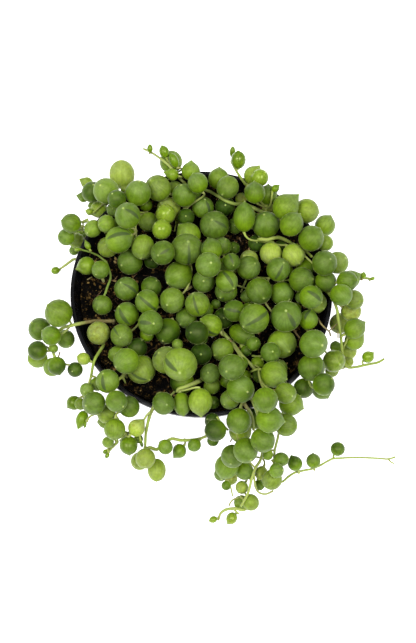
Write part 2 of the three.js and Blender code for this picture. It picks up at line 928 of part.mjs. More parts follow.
/** A route that runs straight from point to point. */
class Route extends THREE.Curve {
  constructor(points) {
    super();
    this.points = points;
  }

  getPoint(t, target = new THREE.Vector3()) {
    const along = t * (this.points.length - 1);
    const index = Math.min(Math.floor(along), this.points.length - 2);
    return target.lerpVectors(this.points[index], this.points[index + 1], along - index);
  }

  getPointAt(u, target) {
    return this.getPoint(u, target);
  }

  getTangentAt(u, target) {
    return this.getTangent(u, target);
  }
}

/** A stem with few sides through the points. */
function makeStem(points, radius) {
  const section = new THREE.Shape();
  for (let i = 0; i < STEM_SIDES; i += 1) {
    const angle = (i / STEM_SIDES) * 2 * Math.PI;
    const corner = [radius * Math.cos(angle), radius * Math.sin(angle)];
    if (i === 0) section.moveTo(...corner);
    else section.lineTo(...corner);
  }
  const extrudePath = new Route(points);
  return toSolid(new THREE.ExtrudeGeometry(section, { extrudePath, steps: points.length - 1 }));
}

/** A pearl: a pointed ball with few sides, which points away from the bead that it grows from. Its
 * neck is drawn out to the middle of that bead, if that is a pearl too.
 */
function makePearl({ centre, radius, girth }, parent) {
  const axis = parent ? centre.clone().sub(parent.centre) : UP.clone();
  const base = parent?.across ? [[0, -axis.length()], [girth, -NECK_AT * radius]] : [[0, -radius]];
  const profile = [
    ...base,
    [RING_RADIUS * radius, -RING_RISE * radius],
    [RING_RADIUS * radius, RING_RISE * radius],
    [0, TIP_LENGTH * radius],
  ];
  const geometry = turned(profile, PEARL_SIDES);
  geometry.applyQuaternion(new THREE.Quaternion().setFromUnitVectors(UP, axis.normalize()));
  geometry.translate(...centre);
  return toSolid(geometry);
}

/** Where a strand's first bead goes down into the soil, kept clear of the wall. */
function makeRoot(bead) {
  const reach = Math.hypot(bead.centre.x, bead.centre.y);
  const limit = wallRadius(SOIL_TOP) - WALL / 2 - ROOT_FROM_WALL;
  const inward = Math.min(1, limit / reach);
  const foot = { x: bead.centre.x * inward, y: bead.centre.y * inward };
  const above = new THREE.Vector3(foot.x, foot.y, SOIL_TOP + ROOT_NECK);
  const below = new THREE.Vector3(foot.x, foot.y, SOIL_TOP - ROOT_DEPTH);
  const stems = inward < 1 ? [[bead.centre, above], [above, below]] : [[bead.centre, below]];
  return { foot, radius: bead.girth, stems };
}

/** A strand's stems and pearls, fused. */
function makeStrand(own, laid, root) {
  const pieces = root.stems.map((ends) => makeStem(ends, root.radius));
  let run = [];
  own.forEach((bead, index) => {
    const parent = index > 0 ? parentOf(bead, own.slice(0, index), laid) : null;
    if (bead.across) {
      pieces.push(makePearl(bead, parent));
      if (parent && !parent.across) pieces.push(makeStem([parent.centre, bead.centre], bead.girth));
      return;
    }
    if (run.length === 0 && parent) run.push(parent.centre);
    run.push(bead.centre);
    const next = own[index + 1];
    if (!next || next.across) {
      if (run.length > 1) pieces.push(makeStem(run, bead.girth));
      run = [];
    }
  });
  return wasm.Manifold.union(pieces);
}

const plastic = new THREE.MeshStandardMaterial({ color: 0x1d1e22, roughness: 0.45, metalness: 0 });
const peat = new THREE.MeshStandardMaterial({ color: 0x1c120b, roughness: 0.95, metalness: 0 });
const leaf = new THREE.MeshStandardMaterial({ color: 0x6f9440, roughness: 0.5, metalness: 0 });

const group = new THREE.Group();
const { beads, laid } = layPlant();
const roots = {};
for (const strand of Object.keys(STRANDS)) {
  roots[strand] = makeRoot(beads.find((bead) => bead.strand === strand));
}
group.add(toMesh('pot', makePot(), plastic));
group.add(toMesh('soil', makeSoil(Object.values(roots)), peat));
for (const strand of Object.keys(STRANDS)) {
  const own = beads.filter((bead) => bead.strand === strand);
  group.add(toMesh(strand, makeStrand(own, laid, roots[strand]), leaf));
}

export default group;
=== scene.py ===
"""Potted string of pearls: the fine surfaces and looks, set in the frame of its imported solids.

Metres, +Z up, the origin under the middle of the pot, the front at -Y. Sizes are named in
millimetres, as for the solids, and become metres where a mesh is made. The plant is laid out as
it is seen in the photograph: every pearl and every turn of a stem has its place and width in that
view, and each then sinks along its line of sight until it rests on what lies below it. This is
the rule that placed the solids, so every strand lies where its node is.
"""

import json
import math
import random
from types import SimpleNamespace

import bmesh
import bpy
import numpy as np
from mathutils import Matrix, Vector, noise

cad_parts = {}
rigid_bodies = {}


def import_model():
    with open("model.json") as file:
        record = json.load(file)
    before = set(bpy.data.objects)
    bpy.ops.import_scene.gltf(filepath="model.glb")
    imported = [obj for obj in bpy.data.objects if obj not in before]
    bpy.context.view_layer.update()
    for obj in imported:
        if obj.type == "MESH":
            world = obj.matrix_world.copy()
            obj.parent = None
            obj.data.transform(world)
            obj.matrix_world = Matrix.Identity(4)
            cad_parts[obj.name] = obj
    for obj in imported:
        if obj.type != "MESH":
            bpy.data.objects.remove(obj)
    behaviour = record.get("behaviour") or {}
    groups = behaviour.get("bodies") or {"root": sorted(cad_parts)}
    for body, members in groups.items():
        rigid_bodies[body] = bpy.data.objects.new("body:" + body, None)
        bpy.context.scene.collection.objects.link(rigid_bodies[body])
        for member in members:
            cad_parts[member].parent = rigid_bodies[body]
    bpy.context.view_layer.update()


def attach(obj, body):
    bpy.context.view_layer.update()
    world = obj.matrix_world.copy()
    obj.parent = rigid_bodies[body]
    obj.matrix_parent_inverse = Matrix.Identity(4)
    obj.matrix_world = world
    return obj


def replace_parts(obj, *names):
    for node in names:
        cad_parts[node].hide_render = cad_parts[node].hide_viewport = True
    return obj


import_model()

MM = 0.001

# Pot, as the solid
RIM_RADIUS = 52.5
POT_HEIGHT = 76
BASE_RADIUS = 33.5
WALL = 1.0
LIP_OVERHANG = 0.6
LIP_HEIGHT = 2.4
COLLAR_HEIGHT = 11
COLLAR_STEP = 0.5
BASE_THICKNESS = 1.4
FOOT_ROUND = 1.2
DRAIN_HOLES = 6
DRAIN_RADIUS = 3
DRAIN_CIRCLE = 23

# Soil, as the solid
SOIL_TOP = POT_HEIGHT - 7
SOIL_RELIEF = 1.6
LUMP_LENGTH = 11
LUMP_SWAY = 1.3

# Clearances and the rule of laying down, as for the solids
STEM_RADIUS = 0.6
ROOT_FROM_WALL = 3.5
ROOT_DEPTH = 5
GAP = 0.3
STEM_OVER_LIP = 0.9
LINK_GAP = 0.12
LINK_CHECKS = 8
GUARD_SPACING = 0.8
OVER_RIM = 1.6
LOWEST = 8
SETTLE_STEP = 0.2
STEM_SAG = 0.9

# The photograph's view: its frame, in which places are seen, and the eye that looks at its middle
FRAME_WIDE, FRAME_HIGH = 416, 643
VIEW_DISTANCE = 420
VIEW_ELEVATION = math.radians(70.96)
VIEW_FOCAL = 1060.4
VIEW_AIM = np.array((2.66, -13.85, POT_HEIGHT))
VIEW_RIGHT = np.array((1.0, 0.0, 0.0))
VIEW_UP = np.array((0.0, math.sin(VIEW_ELEVATION), math.cos(VIEW_ELEVATION)))
TO_EYE = np.array((0.0, -math.cos(VIEW_ELEVATION), math.sin(VIEW_ELEVATION)))
EYE = VIEW_AIM + VIEW_DISTANCE * TO_EYE


class Bead(SimpleNamespace):
    """A pearl or a turn of a stem: what is seen of it, and then where it lies and what it bears."""
    across = 0
    route = None
    bears = False

    def join(self, number, droop, girth):
        """Makes it part of a strand."""
        self.number, self.droop, self.girth = number, droop, girth


def pearl(x, y, across, layer, tip=None, window=None, tone=None, fresh=0.0, long=1.0, height=None):
    """A pearl seen at x, y and `across` wide, in a layer that is laid down in turn, from 0 up.

    Its tip is seen at `tip`, and the far end of its dark window at `window`. `tone` goes from
    dark blue-green, 0, to light yellow-green, 1: it is the pearl's own colour, and also painted
    shade where a pearl deep in shadow is given a low tone, and painted light where a pearl that
    hangs in shadow is given a high tone. `fresh` goes from waxy to glossy, and `long` is length
    to width.
    `height` is given for one outside the wall that hangs lower, or close under the lip.
    """
    return Bead(x=x, y=y, across=across, layer=layer, tip=tip, window=window, tone=tone,
                fresh=fresh, long=long, height=height)


def turn(x, y, layer=0, height=None):
    """A turn of a stem seen at x, y."""
    return Bead(x=x, y=y, layer=layer, height=height)


def bends(layer, *spots):
    """The turns of a stem that are laid down together."""
    return [turn(x, y, layer) for x, y in spots]


def strand(beads, droop=0.8, girth=STEM_RADIUS, age=0.1, slim=1.0, lush=0.1):
    """A leafy stem from its root outward: its fall outside the rim, and its stem's radius and age.

    `slim` is its stem's width as a share of its solid's, and `lush` is how green it is.
    """
    return SimpleNamespace(beads=beads, droop=droop, girth=girth, age=age, thick=girth * slim,
                           lush=lush, twigs=[])


# The tones in this table are partly painted shade, low for pearls that lie deep in shadow, and partly
# painted light, high for some pearls that hang in shadow.
STRANDS = {
    "strand_01": strand(droop=0.7, beads=[
        pearl(108, 247, 21, 0, tip=(105.4, 244.3), tone=0.7),
        pearl(118.8, 239.8, 26.5, 2, tip=(132, 234.7), window=(107, 239.5)),
        pearl(93, 228.6, 17.5, 2, tip=(87.3, 233.2), tone=0.55, long=1.12),
        pearl(106.5, 223.8, 18, 2, tip=(98.4, 225.2), tone=0.55),
        *bends(1, (87.5, 221), (82, 222.5)),
        pearl(71.3, 223.3, 20, 3, tip=(60.9, 220.5)),
        pearl(66.5, 237, 17.5, 2, tip=(57.5, 235.5), tone=0.3),
        pearl(76.6, 241, 16, 1, tip=(70, 243), tone=0.65, height=61),
        pearl(74, 250.5, 10, 0, tip=(71.5, 253), height=59),
        turn(73, 259.5, height=60), turn(67, 264, height=59), turn(60, 269, height=58),
        pearl(55.5, 270.5, 8, 0, tip=(51, 271), tone=0.5, fresh=0.6, long=1.15, height=57),
    ]),
    "strand_02": strand(droop=0.5, beads=[
        pearl(113.5, 209.5, 14, 0),
        pearl(116.7, 199, 18.5, 3, tip=(112.1, 193.6), tone=0.12),
        pearl(106, 190.8, 26, 2, tip=(100, 185), tone=0.5),
        pearl(92.2, 192, 21, 1, tip=(93.5, 184.5), tone=0.1),
        pearl(87, 183, 12, 0, tip=(79, 179), tone=0.7),
        pearl(83.5, 197, 11, 0, tip=(76, 195.5)),
        pearl(92, 205.5, 8, 0, tip=(87.5, 206.3), height=65),
        pearl(99, 209.5, 17, 0, tip=(91, 215), tone=0.7, height=62),
        pearl(89.5, 211.8, 7, 0, tip=(85, 210.6), tone=0.7, height=63),
    ]),
    "strand_03": strand(droop=0.3, beads=[
        pearl(148.5, 222, 20, 0, tip=(150, 230), tone=0.58),
        pearl(146, 205, 13, 0, tone=0.2),
        pearl(138, 193, 26, 1, tip=(139.5, 181), tone=0.4),
        pearl(122, 174.5, 26, 0, tip=(121.3, 160), tone=0.8, long=1.13),
        pearl(127.7, 215.8, 26.3, 3, tip=(122.8, 207.7), window=(139, 219)),
    ]),
    "strand_04": strand(droop=0.3, beads=[
        pearl(168.8, 208.6, 23.5, 0, tip=(160, 202.2), tone=0.8),
        pearl(165.6, 214.3, 20.2, 1, tip=(170, 210), tone=0.6, fresh=1),
        pearl(161.8, 229.4, 19.3, 2, tip=(154.5, 223.7), tone=0.6, fresh=1),
    ]),
    "strand_05": strand(droop=0.3, beads=[
        pearl(186, 217, 17, 0, tone=0.05),
        pearl(175, 189, 16, 0, tone=0.6),
        *bends(1, (184.5, 182.5), (179.8, 178.5), (171, 167.6), (161.5, 159.3), (151.5, 152.6),
               (143.5, 148.7)),
        pearl(184.2, 195.3, 24, 1, tip=(181, 184.6), tone=0.3),
        pearl(158, 188, 26.5, 0, tip=(150, 180), tone=0.6),
        pearl(190.8, 171.3, 18.3, 1, tip=(191.2, 160)),
        pearl(197.8, 183, 20.7, 2, tip=(192.6, 172.8)),
        pearl(171, 162, 23, 0, tip=(166, 152)),
        pearl(172.3, 174.5, 12.5, 2, tip=(162.8, 171.9), fresh=0.7),
        pearl(164.2, 151.8, 10, 2, tip=(161.5, 145), tone=0.4, fresh=0.8, long=1.25),
        pearl(173.8, 160.5, 10, 2, tip=(170.5, 152.8), tone=0.35, fresh=0.8, long=1.5),
    ]),
    "strand_06": strand(droop=0.3, beads=[
        pearl(225.2, 206.3, 20, 0, tone=0),
        pearl(203, 207.5, 22, 0, tip=(205, 199), window=(209.5, 214), tone=0.3),
        pearl(218.7, 178.7, 21, 0, tip=(219.5, 166.8)),
        pearl(227.7, 187.3, 22.5, 1, tip=(222, 195)),
    ]),
    "strand_07": strand(droop=0.3, beads=[
        pearl(268, 208, 12, 0, tone=0.95),
        pearl(267.5, 195, 19.5, 0, tip=(268.3, 183.7), tone=0.3),
        pearl(254.8, 193, 21, 2, tip=(254.2, 180.8), tone=0.3),
        pearl(253.3, 175.6, 19, 0, tip=(259.6, 165.4), tone=0.7),
        pearl(260, 177.6, 17.5, 1, tip=(265.5, 172), tone=0.6, fresh=1),
        *bends(1, (246.5, 185.5), (240.5, 177.5), (235.2, 169), (231, 161.5)),
        pearl(238.4, 160, 15, 2, tip=(238, 150.5), tone=0.4, fresh=1, long=1.15),
        pearl(275.3, 188.5, 8, 2, tip=(280, 184.4), tone=0.4, fresh=0.6),
    ]),
    "strand_08": strand(droop=0.3, girth=0.8, lush=0.4, beads=[
        pearl(235, 226, 16, 0, tone=0.2),
        pearl(241, 199, 12, 0, tone=0.95),
        pearl(214.6, 225.3, 29.6, 1, tip=(211.7, 219.6), window=(227, 228)),
        pearl(266, 224.8, 27.3, 1, tip=(263.9, 214)),
        *bends(3, (262, 212), (256.5, 209.3), (250, 206.3), (241.5, 203.6), (235, 204),
               (228, 201.8), (222.5, 198.7), (216.5, 195.2), (211, 192), (206, 190.3)),
        pearl(244.3, 217.5, 22, 4, tip=(244.8, 201.2), tone=0.3, long=1.3),
    ]),
    "strand_09": strand(droop=0.6, beads=[
        pearl(285.6, 207, 26, 2, tip=(299.1, 194.2)),
        pearl(291.5, 224.3, 23, 3, tip=(300.3, 213.4), window=(302, 228), long=1.08),
        pearl(306.7, 210.8, 24.6, 0, tone=0.7),
    ]),
    "strand_10": strand(droop=0.7, beads=[
        pearl(311.2, 238.3, 26, 2, tip=(320.6, 227.9)),
        pearl(325, 225.5, 21, 1, tip=(331, 215.2)),
        pearl(325, 243, 16.5, 0, tip=(331, 248), tone=0.6),
    ]),
    "strand_11": strand(droop=0.7, girth=0.75, beads=[
        pearl(280.5, 246.5, 13, 0, tone=0),
        pearl(271, 253.7, 23, 1, tip=(272, 265.5), tone=0.85),
        *bends(1, (262, 239.3), (267.3, 239.7), (273, 238.2), (279.5, 237.6), (287.4, 240.9),
               (296, 246), (304.5, 250), (312, 257)),
        pearl(293.5, 255, 23, 1, tip=(300, 264), tone=0.78),
        pearl(324.6, 263.1, 25.5, 3, tip=(330.9, 258.7), tone=0.25),
        pearl(337.4, 262.7, 22.5, 1, tip=(346, 258), tone=0.6),
    ]),
    "strand_12": strand(droop=0.8, beads=[
        pearl(316.5, 302.5, 21, 0, tip=(324, 309), tone=0.65),
        pearl(311, 297, 23.7, 1, tip=(322.3, 302.7), window=(307, 290.5), tone=0.35),
        pearl(325.8, 281.2, 21, 2, tip=(336.5, 283.9), tone=0.25),
        pearl(347, 281.2, 21, 2, tip=(358, 280), tone=0.3),
        pearl(350.5, 279.3, 18.5, 1, tip=(360.4, 273.5)),
        *bends(1, (361, 277.7), (366, 278.2), (372, 278.9)),
    ]),
    "strand_13": strand(droop=0.8, girth=0.62, age=0.2, lush=0.15, beads=[
        *bends(0, (323, 287.5), (327.5, 292), (331.5, 297), (335, 303.5), (337.3, 311),
               (338.2, 319), (339.7, 327.4), (340.9, 336), (341.9, 350), (343.5, 360),
               (347.5, 367), (354, 367.3), (362, 365.8), (370, 364), (378, 362.4), (384, 359)),
        pearl(341.2, 295, 22, 2, tip=(347.9, 304.7), tone=0.3),
        pearl(354, 299.7, 20, 1, tip=(363.8, 301), tone=0.65),
        pearl(351, 311.2, 20.5, 0, tip=(361, 309.5), tone=0.9),
        pearl(354.5, 328.5, 21, 2, tip=(365, 322)),
        pearl(354.3, 340.3, 20, 1, tip=(363.9, 334.5), tone=0.6),
        pearl(339.8, 323.3, 20.5, 0, tip=(331, 327), tone=0.85, height=61),
        pearl(335.6, 346.8, 11.5, 0, tip=(335.5, 340.5), height=65),
        pearl(348.8, 362, 10, 1, tip=(352.5, 357.5), tone=0.85, height=62),
        pearl(368, 357, 12, 1, tip=(373.8, 352.2), tone=0.55, fresh=0.8),
        pearl(347.3, 350.5, 19, 0, tip=(356, 355), tone=0.85, height=60),
    ]),
    "strand_14": strand(droop=0.9, beads=[
        pearl(308.3, 319.7, 19.5, 0, tip=(311.5, 309), window=(304.5, 320)),
        pearl(313.6, 343.7, 29, 2, tip=(322.8, 345.4), tone=0.3),
        pearl(311.5, 367.5, 27.5, 1, tip=(313.4, 381.2), window=(321, 357), tone=0.3),
        pearl(334, 361, 23, 0, tip=(340, 364.5), tone=0.6, fresh=0.5),
        pearl(332, 370.5, 14, 0, tip=(334.5, 376.5), tone=0.65, height=63),
        pearl(323.7, 384.3, 22.5, 1, tip=(332.5, 378), tone=0.1),
        pearl(322, 389.3, 20, 0, tip=(328.3, 398.6), tone=0.3),
        pearl(303.5, 388.3, 20.5, 0, tip=(300, 396), tone=0.1),
    ]),
    "strand_15": strand(beads=[
        pearl(256.6, 243, 17, 0, tone=0),
        pearl(249.3, 259.3, 18.5, 0, tip=(243, 255), tone=0.85),
        pearl(248.5, 267.7, 24, 1, tip=(255.7, 263), tone=0.35),
    ]),
    "strand_16": strand(beads=[
        pearl(233.5, 248, 13, 0, tone=0.1),
        pearl(223, 246, 17.3, 1, tip=(226, 239), tone=0.35),
        pearl(211.7, 249.3, 22, 2, tip=(207.8, 237.5), window=(202.5, 251)),
        pearl(231.3, 262, 18, 2, tip=(233.8, 265.7), window=(229, 254), tone=0.2),
        pearl(208.3, 265, 25.7, 3, tip=(211, 262.7), tone=0.35),
    ]),
    "strand_17": strand(beads=[
        pearl(188.5, 234.5, 24, 0, tip=(178.5, 224.5)),
        pearl(186.6, 249, 32, 1, tip=(188.3, 241.1), window=(188, 265.5)),
        pearl(178.6, 275.3, 27.5, 2, tip=(166.8, 283), tone=0.42),
        pearl(172.1, 300.4, 25.3, 1, tip=(166.7, 305.4)),
    ]),
    "strand_18": strand(beads=[
        pearl(203.6, 281.5, 22.5, 1, tone=0.3),
        pearl(197.3, 304.2, 25, 2, tip=(192.5, 292.7), window=(199.5, 315)),
        pearl(186.2, 318, 21, 0, tip=(180, 325), tone=0.3),
        pearl(215.7, 304.2, 9.8, 0, tip=(219, 301)),
    ]),
    "strand_19": strand(beads=[
        pearl(152, 260.5, 16.5, 0, tone=0),
        pearl(162.8, 252.7, 24.5, 1, tip=(157.8, 255.6), window=(170, 248.5)),
    ]),
    "strand_20": strand(beads=[
        pearl(130, 262, 25.3, 0, tip=(121, 265.5), tone=0.25),
        pearl(142.8, 247, 23.3, 1, tip=(140.8, 259), tone=0.6, long=1.1),
        pearl(126.3, 288.7, 24.5, 1, tip=(120.3, 282.3), window=(137, 293.5)),
    ]),
    "strand_21": strand(beads=[
        pearl(151.2, 287, 21, 0, tip=(157, 280), tone=0.15),
        pearl(147, 301.7, 24, 1, tip=(137.1, 294), window=(156, 309.5)),
        pearl(126.8, 314.2, 24, 1, tip=(118.5, 306), window=(129.5, 324)),
        pearl(121.6, 335.5, 22.4, 2, tip=(120.3, 337.8), window=(114, 327)),
    ]),
    "strand_22": strand(beads=[
        pearl(167.5, 331, 25.5, 0, tip=(162.7, 341.2), tone=0.1),
        pearl(150.5, 322.9, 25.2, 1, tip=(153.8, 323.6), window=(139, 322), tone=0.3),
    ]),
    "strand_23": strand(beads=[
        pearl(226, 291.3, 22.3, 0, tip=(220, 298), window=(224.5, 299), tone=0.3),
        pearl(226.8, 281.3, 22.3, 1, tip=(234.1, 288.8), window=(222.5, 272)),
        pearl(247.8, 296.2, 14, 0, tip=(240.6, 297.8)),
    ]),
    "strand_24": strand(girth=0.75, beads=[
        pearl(223.8, 318, 21, 0, tone=0),
        pearl(234.3, 310.8, 22, 1, tip=(223.6, 308.8), window=(240.5, 312), tone=0.17),
        pearl(210.8, 325.3, 23.3, 1, tip=(200, 318.5), tone=0.55, window=(218, 334), fresh=0.3),
        *bends(4, (221.9, 331.5), (228.4, 338.7), (235.5, 346.9), (241.5, 355.1), (249.7, 363.5),
               (255.7, 370.5), (259.4, 377.5), (262, 384)),
        pearl(273.8, 374.4, 27, 2, tip=(287.6, 379.5)),
        pearl(265.4, 400, 25.5, 6, tip=(268.4, 413.6), window=(277, 398)),
        pearl(285.5, 393.2, 21.5, 5, tip=(292.6, 396.3)),
        pearl(291, 404, 24, 3, tip=(303.9, 408.7)),
    ]),
    "strand_25": strand(beads=[
        pearl(282, 293.5, 24, 0, tip=(290, 300), tone=0.3),
        pearl(278.3, 269.4, 23.7, 1, tip=(284.1, 262.3), window=(275, 279), tone=0.35),
        pearl(259, 291, 26.7, 1, tip=(264.2, 299.2), tone=0.3),
        pearl(301.5, 279.8, 25.5, 1, tip=(314, 279)),
        pearl(286, 316.5, 31, 2, tip=(285.9, 310.3), window=(295, 327.5)),
    ]),
    "strand_26": strand(beads=[
        pearl(242, 334.5, 19, 0, tip=(254.7, 341.8), tone=0.3, long=1.45),
        pearl(254.2, 318.7, 30, 1, tip=(243, 327), window=(267.5, 311), tone=0.4),
        pearl(246.5, 350.5, 12, 0, tip=(251, 354), tone=0),
    ]),
    "strand_27": strand(beads=[
        pearl(282, 343.8, 28.5, 0, tip=(290, 352), tone=0.55),
        pearl(270.6, 352.4, 20.3, 1, tip=(272.8, 351.5), tone=0.25),
        pearl(257.3, 363.5, 14, 0, tone=0.6),
        pearl(278.5, 368, 18, 0, tip=(279, 360.4), tone=0.5),
    ]),
    "strand_28": strand(droop=1.1, girth=0.72, age=0.5, beads=[
        pearl(222, 349.5, 23, 0, tip=(214.1, 355.9), tone=0.5),
        pearl(232, 367.1, 26.5, 2, tip=(226, 371.7), tone=0.3),
        pearl(240.6, 389, 27.5, 1, tip=(248, 392), tone=0.35),
        pearl(230, 399.5, 20, 0, tip=(224, 405), tone=0.5),
        *bends(1, (244, 403.5), (247.7, 408.8), (251, 414), (252.8, 421), (253.5, 430)),
        pearl(238.9, 421, 25.6, 5, tip=(237.6, 434.3), tone=0.35),
        pearl(240.2, 431, 23, 4, tone=0.7),
        pearl(245.6, 450.3, 25, 3, tip=(251, 460), tone=0.35),
        pearl(232.5, 456.3, 23.5, 2, tip=(230.6, 464.4), tone=0.35, height=52),
        pearl(226.6, 466.5, 24.5, 1, tip=(221.4, 479.3), tone=0.4, height=45),
        pearl(221, 474, 14, 0, tip=(221, 479.5), height=46),
        pearl(226.2, 485.6, 9.7, 0, tip=(223, 489), height=44),
    ]),
    "strand_29": strand(beads=[
        pearl(137.3, 348, 20, 0, tip=(142, 340), tone=0),
        pearl(126.2, 361, 26, 1, tip=(115.3, 367.3)),
        pearl(141.4, 369.6, 28.5, 0, tip=(150, 380.5), tone=0.65, window=(130, 371)),
    ]),
    "strand_30": strand(beads=[
        pearl(201, 354, 22, 0, tone=0, long=1.1),
        pearl(166, 360, 28, 0, tip=(158, 352), tone=0.65, window=(153, 357)),
        pearl(180.2, 364.3, 34, 1, tip=(179.8, 373.6), tone=0.6, window=(165.5, 357.5)),
        pearl(177.5, 344.3, 11, 1, tip=(177, 342)),
    ]),
    "strand_31": strand(beads=[
        pearl(200, 337, 17, 0, tip=(206, 343), tone=0),
        pearl(197, 332.8, 23.5, 1, tip=(190.2, 332.5), tone=0),
    ]),
    "strand_32": strand(droop=1.0, girth=0.8, beads=[
        pearl(212, 386, 17, 0, tip=(214, 394)),
        pearl(210, 373.5, 20.3, 1, tip=(208, 372.5), tone=0.35),
        *bends(2, (200.5, 380.4), (191, 384.6), (184, 387.3), (179, 388.8), (176.8, 391.8)),
        pearl(182, 382, 24, 0, tone=0),
        pearl(181.8, 404, 17.5, 2, tip=(183.6, 416.3), tone=0.45, long=1.33),
        pearl(200.3, 401.5, 24, 3, tip=(201.3, 417.6), tone=0.65, long=1.12),
        pearl(163.5, 403.5, 22.7, 3, tip=(167, 404.8), tone=0.3),
    ]),
    "strand_33": strand(droop=0.9, girth=0.7, slim=0.9, lush=0.25, beads=[
        pearl(98.5, 333, 23.3, 1, tip=(94, 334.4), tone=0.9),
        *bends(0, (102.5, 347), (98.5, 353), (95.8, 357.5), (93.7, 362.5), (92.5, 368), (91.3, 375),
               (89.5, 382)),
        pearl(83.6, 358.8, 12.5, 1, tip=(76.8, 356), tone=0.75, fresh=0.7, long=1.1),
        pearl(86.8, 390, 14.5, 1, tip=(84, 392), tone=0.5),
        pearl(97, 384, 14, 0, tip=(99, 391), tone=0.5),
        pearl(93.9, 403.3, 23.7, 2, tip=(85.4, 405.8), tone=0.3),
        pearl(74, 402.8, 14.5, 0, tip=(67.3, 408), tone=0.4, fresh=0.6),
        pearl(75.1, 369.6, 15.5, 1, tip=(72, 371.5), tone=0.08),
        pearl(80.5, 404, 12, 1, tip=(77, 409)),
        pearl(82, 418.8, 12, 0, tip=(77.8, 429.3), tone=0.4, fresh=0.8, long=1.4),
    ]),
    "strand_34": strand(droop=0.9, beads=[
        *bends(0, (124, 375), (118, 380), (112, 384)),
        pearl(107.6, 381.2, 24, 1, tip=(102.7, 373), window=(105.5, 391), tone=0.45),
        pearl(129, 406.7, 22, 1, tip=(123.7, 398), tone=0.25),
        pearl(116.4, 401.2, 21.7, 2, tip=(123.4, 407), tone=0.3),
        pearl(106.5, 414, 19, 1, tip=(101, 411), tone=0.7),
        pearl(105, 421.5, 14, 0, tip=(97, 422), tone=0.55),
        pearl(114.7, 429.2, 21.7, 2, tip=(113.8, 441), tone=0.55),
        pearl(136.5, 428, 17.3, 1, tip=(144.8, 418.9), tone=0.9),
        pearl(128.6, 445.3, 18, 1, tip=(129.5, 455.8), tone=0.4, long=1.06, fresh=0.5),
        pearl(138.5, 438.8, 9.5, 0, tip=(141, 443), tone=0.25),
        *bends(0, (117.5, 442), (112, 447.5), (108.8, 451.5), (107, 457)),
        pearl(108, 442.2, 12, 1, tip=(105, 446)),
    ]),
    "strand_35": strand(droop=1.1, girth=0.68, beads=[
        *bends(0, (158, 394), (155, 404), (151.8, 410.7), (149.5, 416.5), (147.6, 424),
               (145.9, 433), (145.3, 442), (145.2, 447)),
        pearl(145.5, 458.4, 20, 2, tip=(145.2, 467), tone=0.8, long=1.06),
        pearl(140, 461, 18.5, 1, tip=(134, 466), tone=0.75),
        pearl(156.7, 470, 19, 1, tip=(156.2, 482.2), tone=0.75, long=1.28),
        *bends(0, (150, 447.3), (157, 449.3), (164.5, 443.5), (171.6, 438.8), (181, 440.3),
               (190.5, 440), (199, 438.8), (207, 436)),
        pearl(165.4, 447, 15, 1, tip=(170, 453), tone=0.4),
        pearl(179.5, 450.9, 13.8, 0, tip=(173.3, 458), tone=0.3),
        pearl(194.3, 445, 13.7, 0, tip=(189, 450), tone=0.3),
        pearl(215.4, 430.4, 22, 2, tip=(205, 434), tone=0),
        pearl(212.3, 421, 15.5, 1, tip=(207, 419), tone=0),
        pearl(213, 440.5, 12, 0, tip=(212, 446), tone=0.1),
    ]),
    "strand_36": strand(droop=1.1, girth=0.66, beads=[
        *bends(0, (250, 396), (254, 404), (257, 412), (260, 424), (262, 438), (262.3, 452)),
        *bends(3, (260, 461), (255.2, 468.4), (251.6, 479), (249.2, 489.7), (245.7, 498),
               (241, 506.3)),
        pearl(254.8, 418.5, 22, 0, tone=0, height=60),
        pearl(269.5, 419.5, 26.5, 5, tip=(285.3, 421.8), tone=0.35),
        pearl(286, 425, 23, 3, tip=(297.3, 427), tone=0.5),
        pearl(262.8, 440, 24.7, 4, tip=(273.2, 447.8), tone=0.3),
        pearl(244.2, 470.5, 18.7, 0, tip=(250, 479), tone=0.3),
        pearl(231, 478.5, 13, 0, tip=(231, 485), tone=0.95, height=40),
        pearl(241.9, 487.4, 13.2, 1, tip=(238, 493), tone=0.85),
        pearl(261.2, 473, 12.8, 1, tip=(258.5, 480), tone=0.85, long=1.1),
        pearl(259.4, 485, 11, 0, tip=(262, 490), tone=0.3),
        pearl(240.5, 502.5, 14, 0, tip=(234, 506), tone=0.5),
        pearl(250.7, 502.3, 17.3, 1, tip=(257, 508), tone=0.7),
        *bends(2, (237, 508.5), (230, 508.8), (225, 510), (220.5, 513.5), (218.3, 520)),
        pearl(231.7, 518.2, 11.3, 1, tip=(227, 524.5), tone=0.7, fresh=1, long=1.13),
    ]),
    "strand_37": strand(droop=0.9, girth=0.5, beads=[
        *bends(0, (276.5, 382), (279.5, 389), (284, 399), (284, 408), (281, 418), (279.5, 428),
               (278, 437), (276, 445), (274.5, 452), (274, 460), (273, 469), (274, 478),
               (281.4, 482), (288, 477), (295, 472.6), (304.5, 470.3), (311.6, 469),
               (319.9, 465.5), (328.2, 460.8), (332.9, 458.7), (340, 458.2), (352, 457.5),
               (365, 457.7), (378, 458.3), (388, 459), (395, 457)),
        pearl(267.7, 454.8, 11, 1, tip=(264, 459)),
        pearl(281.2, 459.3, 14.5, 1, tip=(288.6, 458.2), long=1.1),
        pearl(276.5, 470.5, 15, 1, tip=(283, 470)),
        pearl(272, 479.7, 20.5, 2, tip=(267, 488.5), tone=0.65),
        pearl(295, 463.5, 15, 1, tip=(290.9, 455.2), tone=0.15),
        pearl(313.4, 461, 14.5, 1, tip=(312.8, 453), tone=0.4),
        pearl(337.7, 449, 14.2, 1, tip=(341, 443), tone=0.15),
    ]),
    "strand_38": strand(droop=0.9, girth=0.9, age=1.0, slim=0.8, beads=[
        *bends(0, (113, 321), (104, 321.3), (97, 320.7), (88.4, 321.9), (80, 323.6), (71.8, 325.4),
               (64, 327.5), (59, 331), (54.5, 339), (52.5, 349), (55, 357.5)),
        pearl(56.8, 365.8, 18, 2, tip=(60, 375.3), tone=0.1),
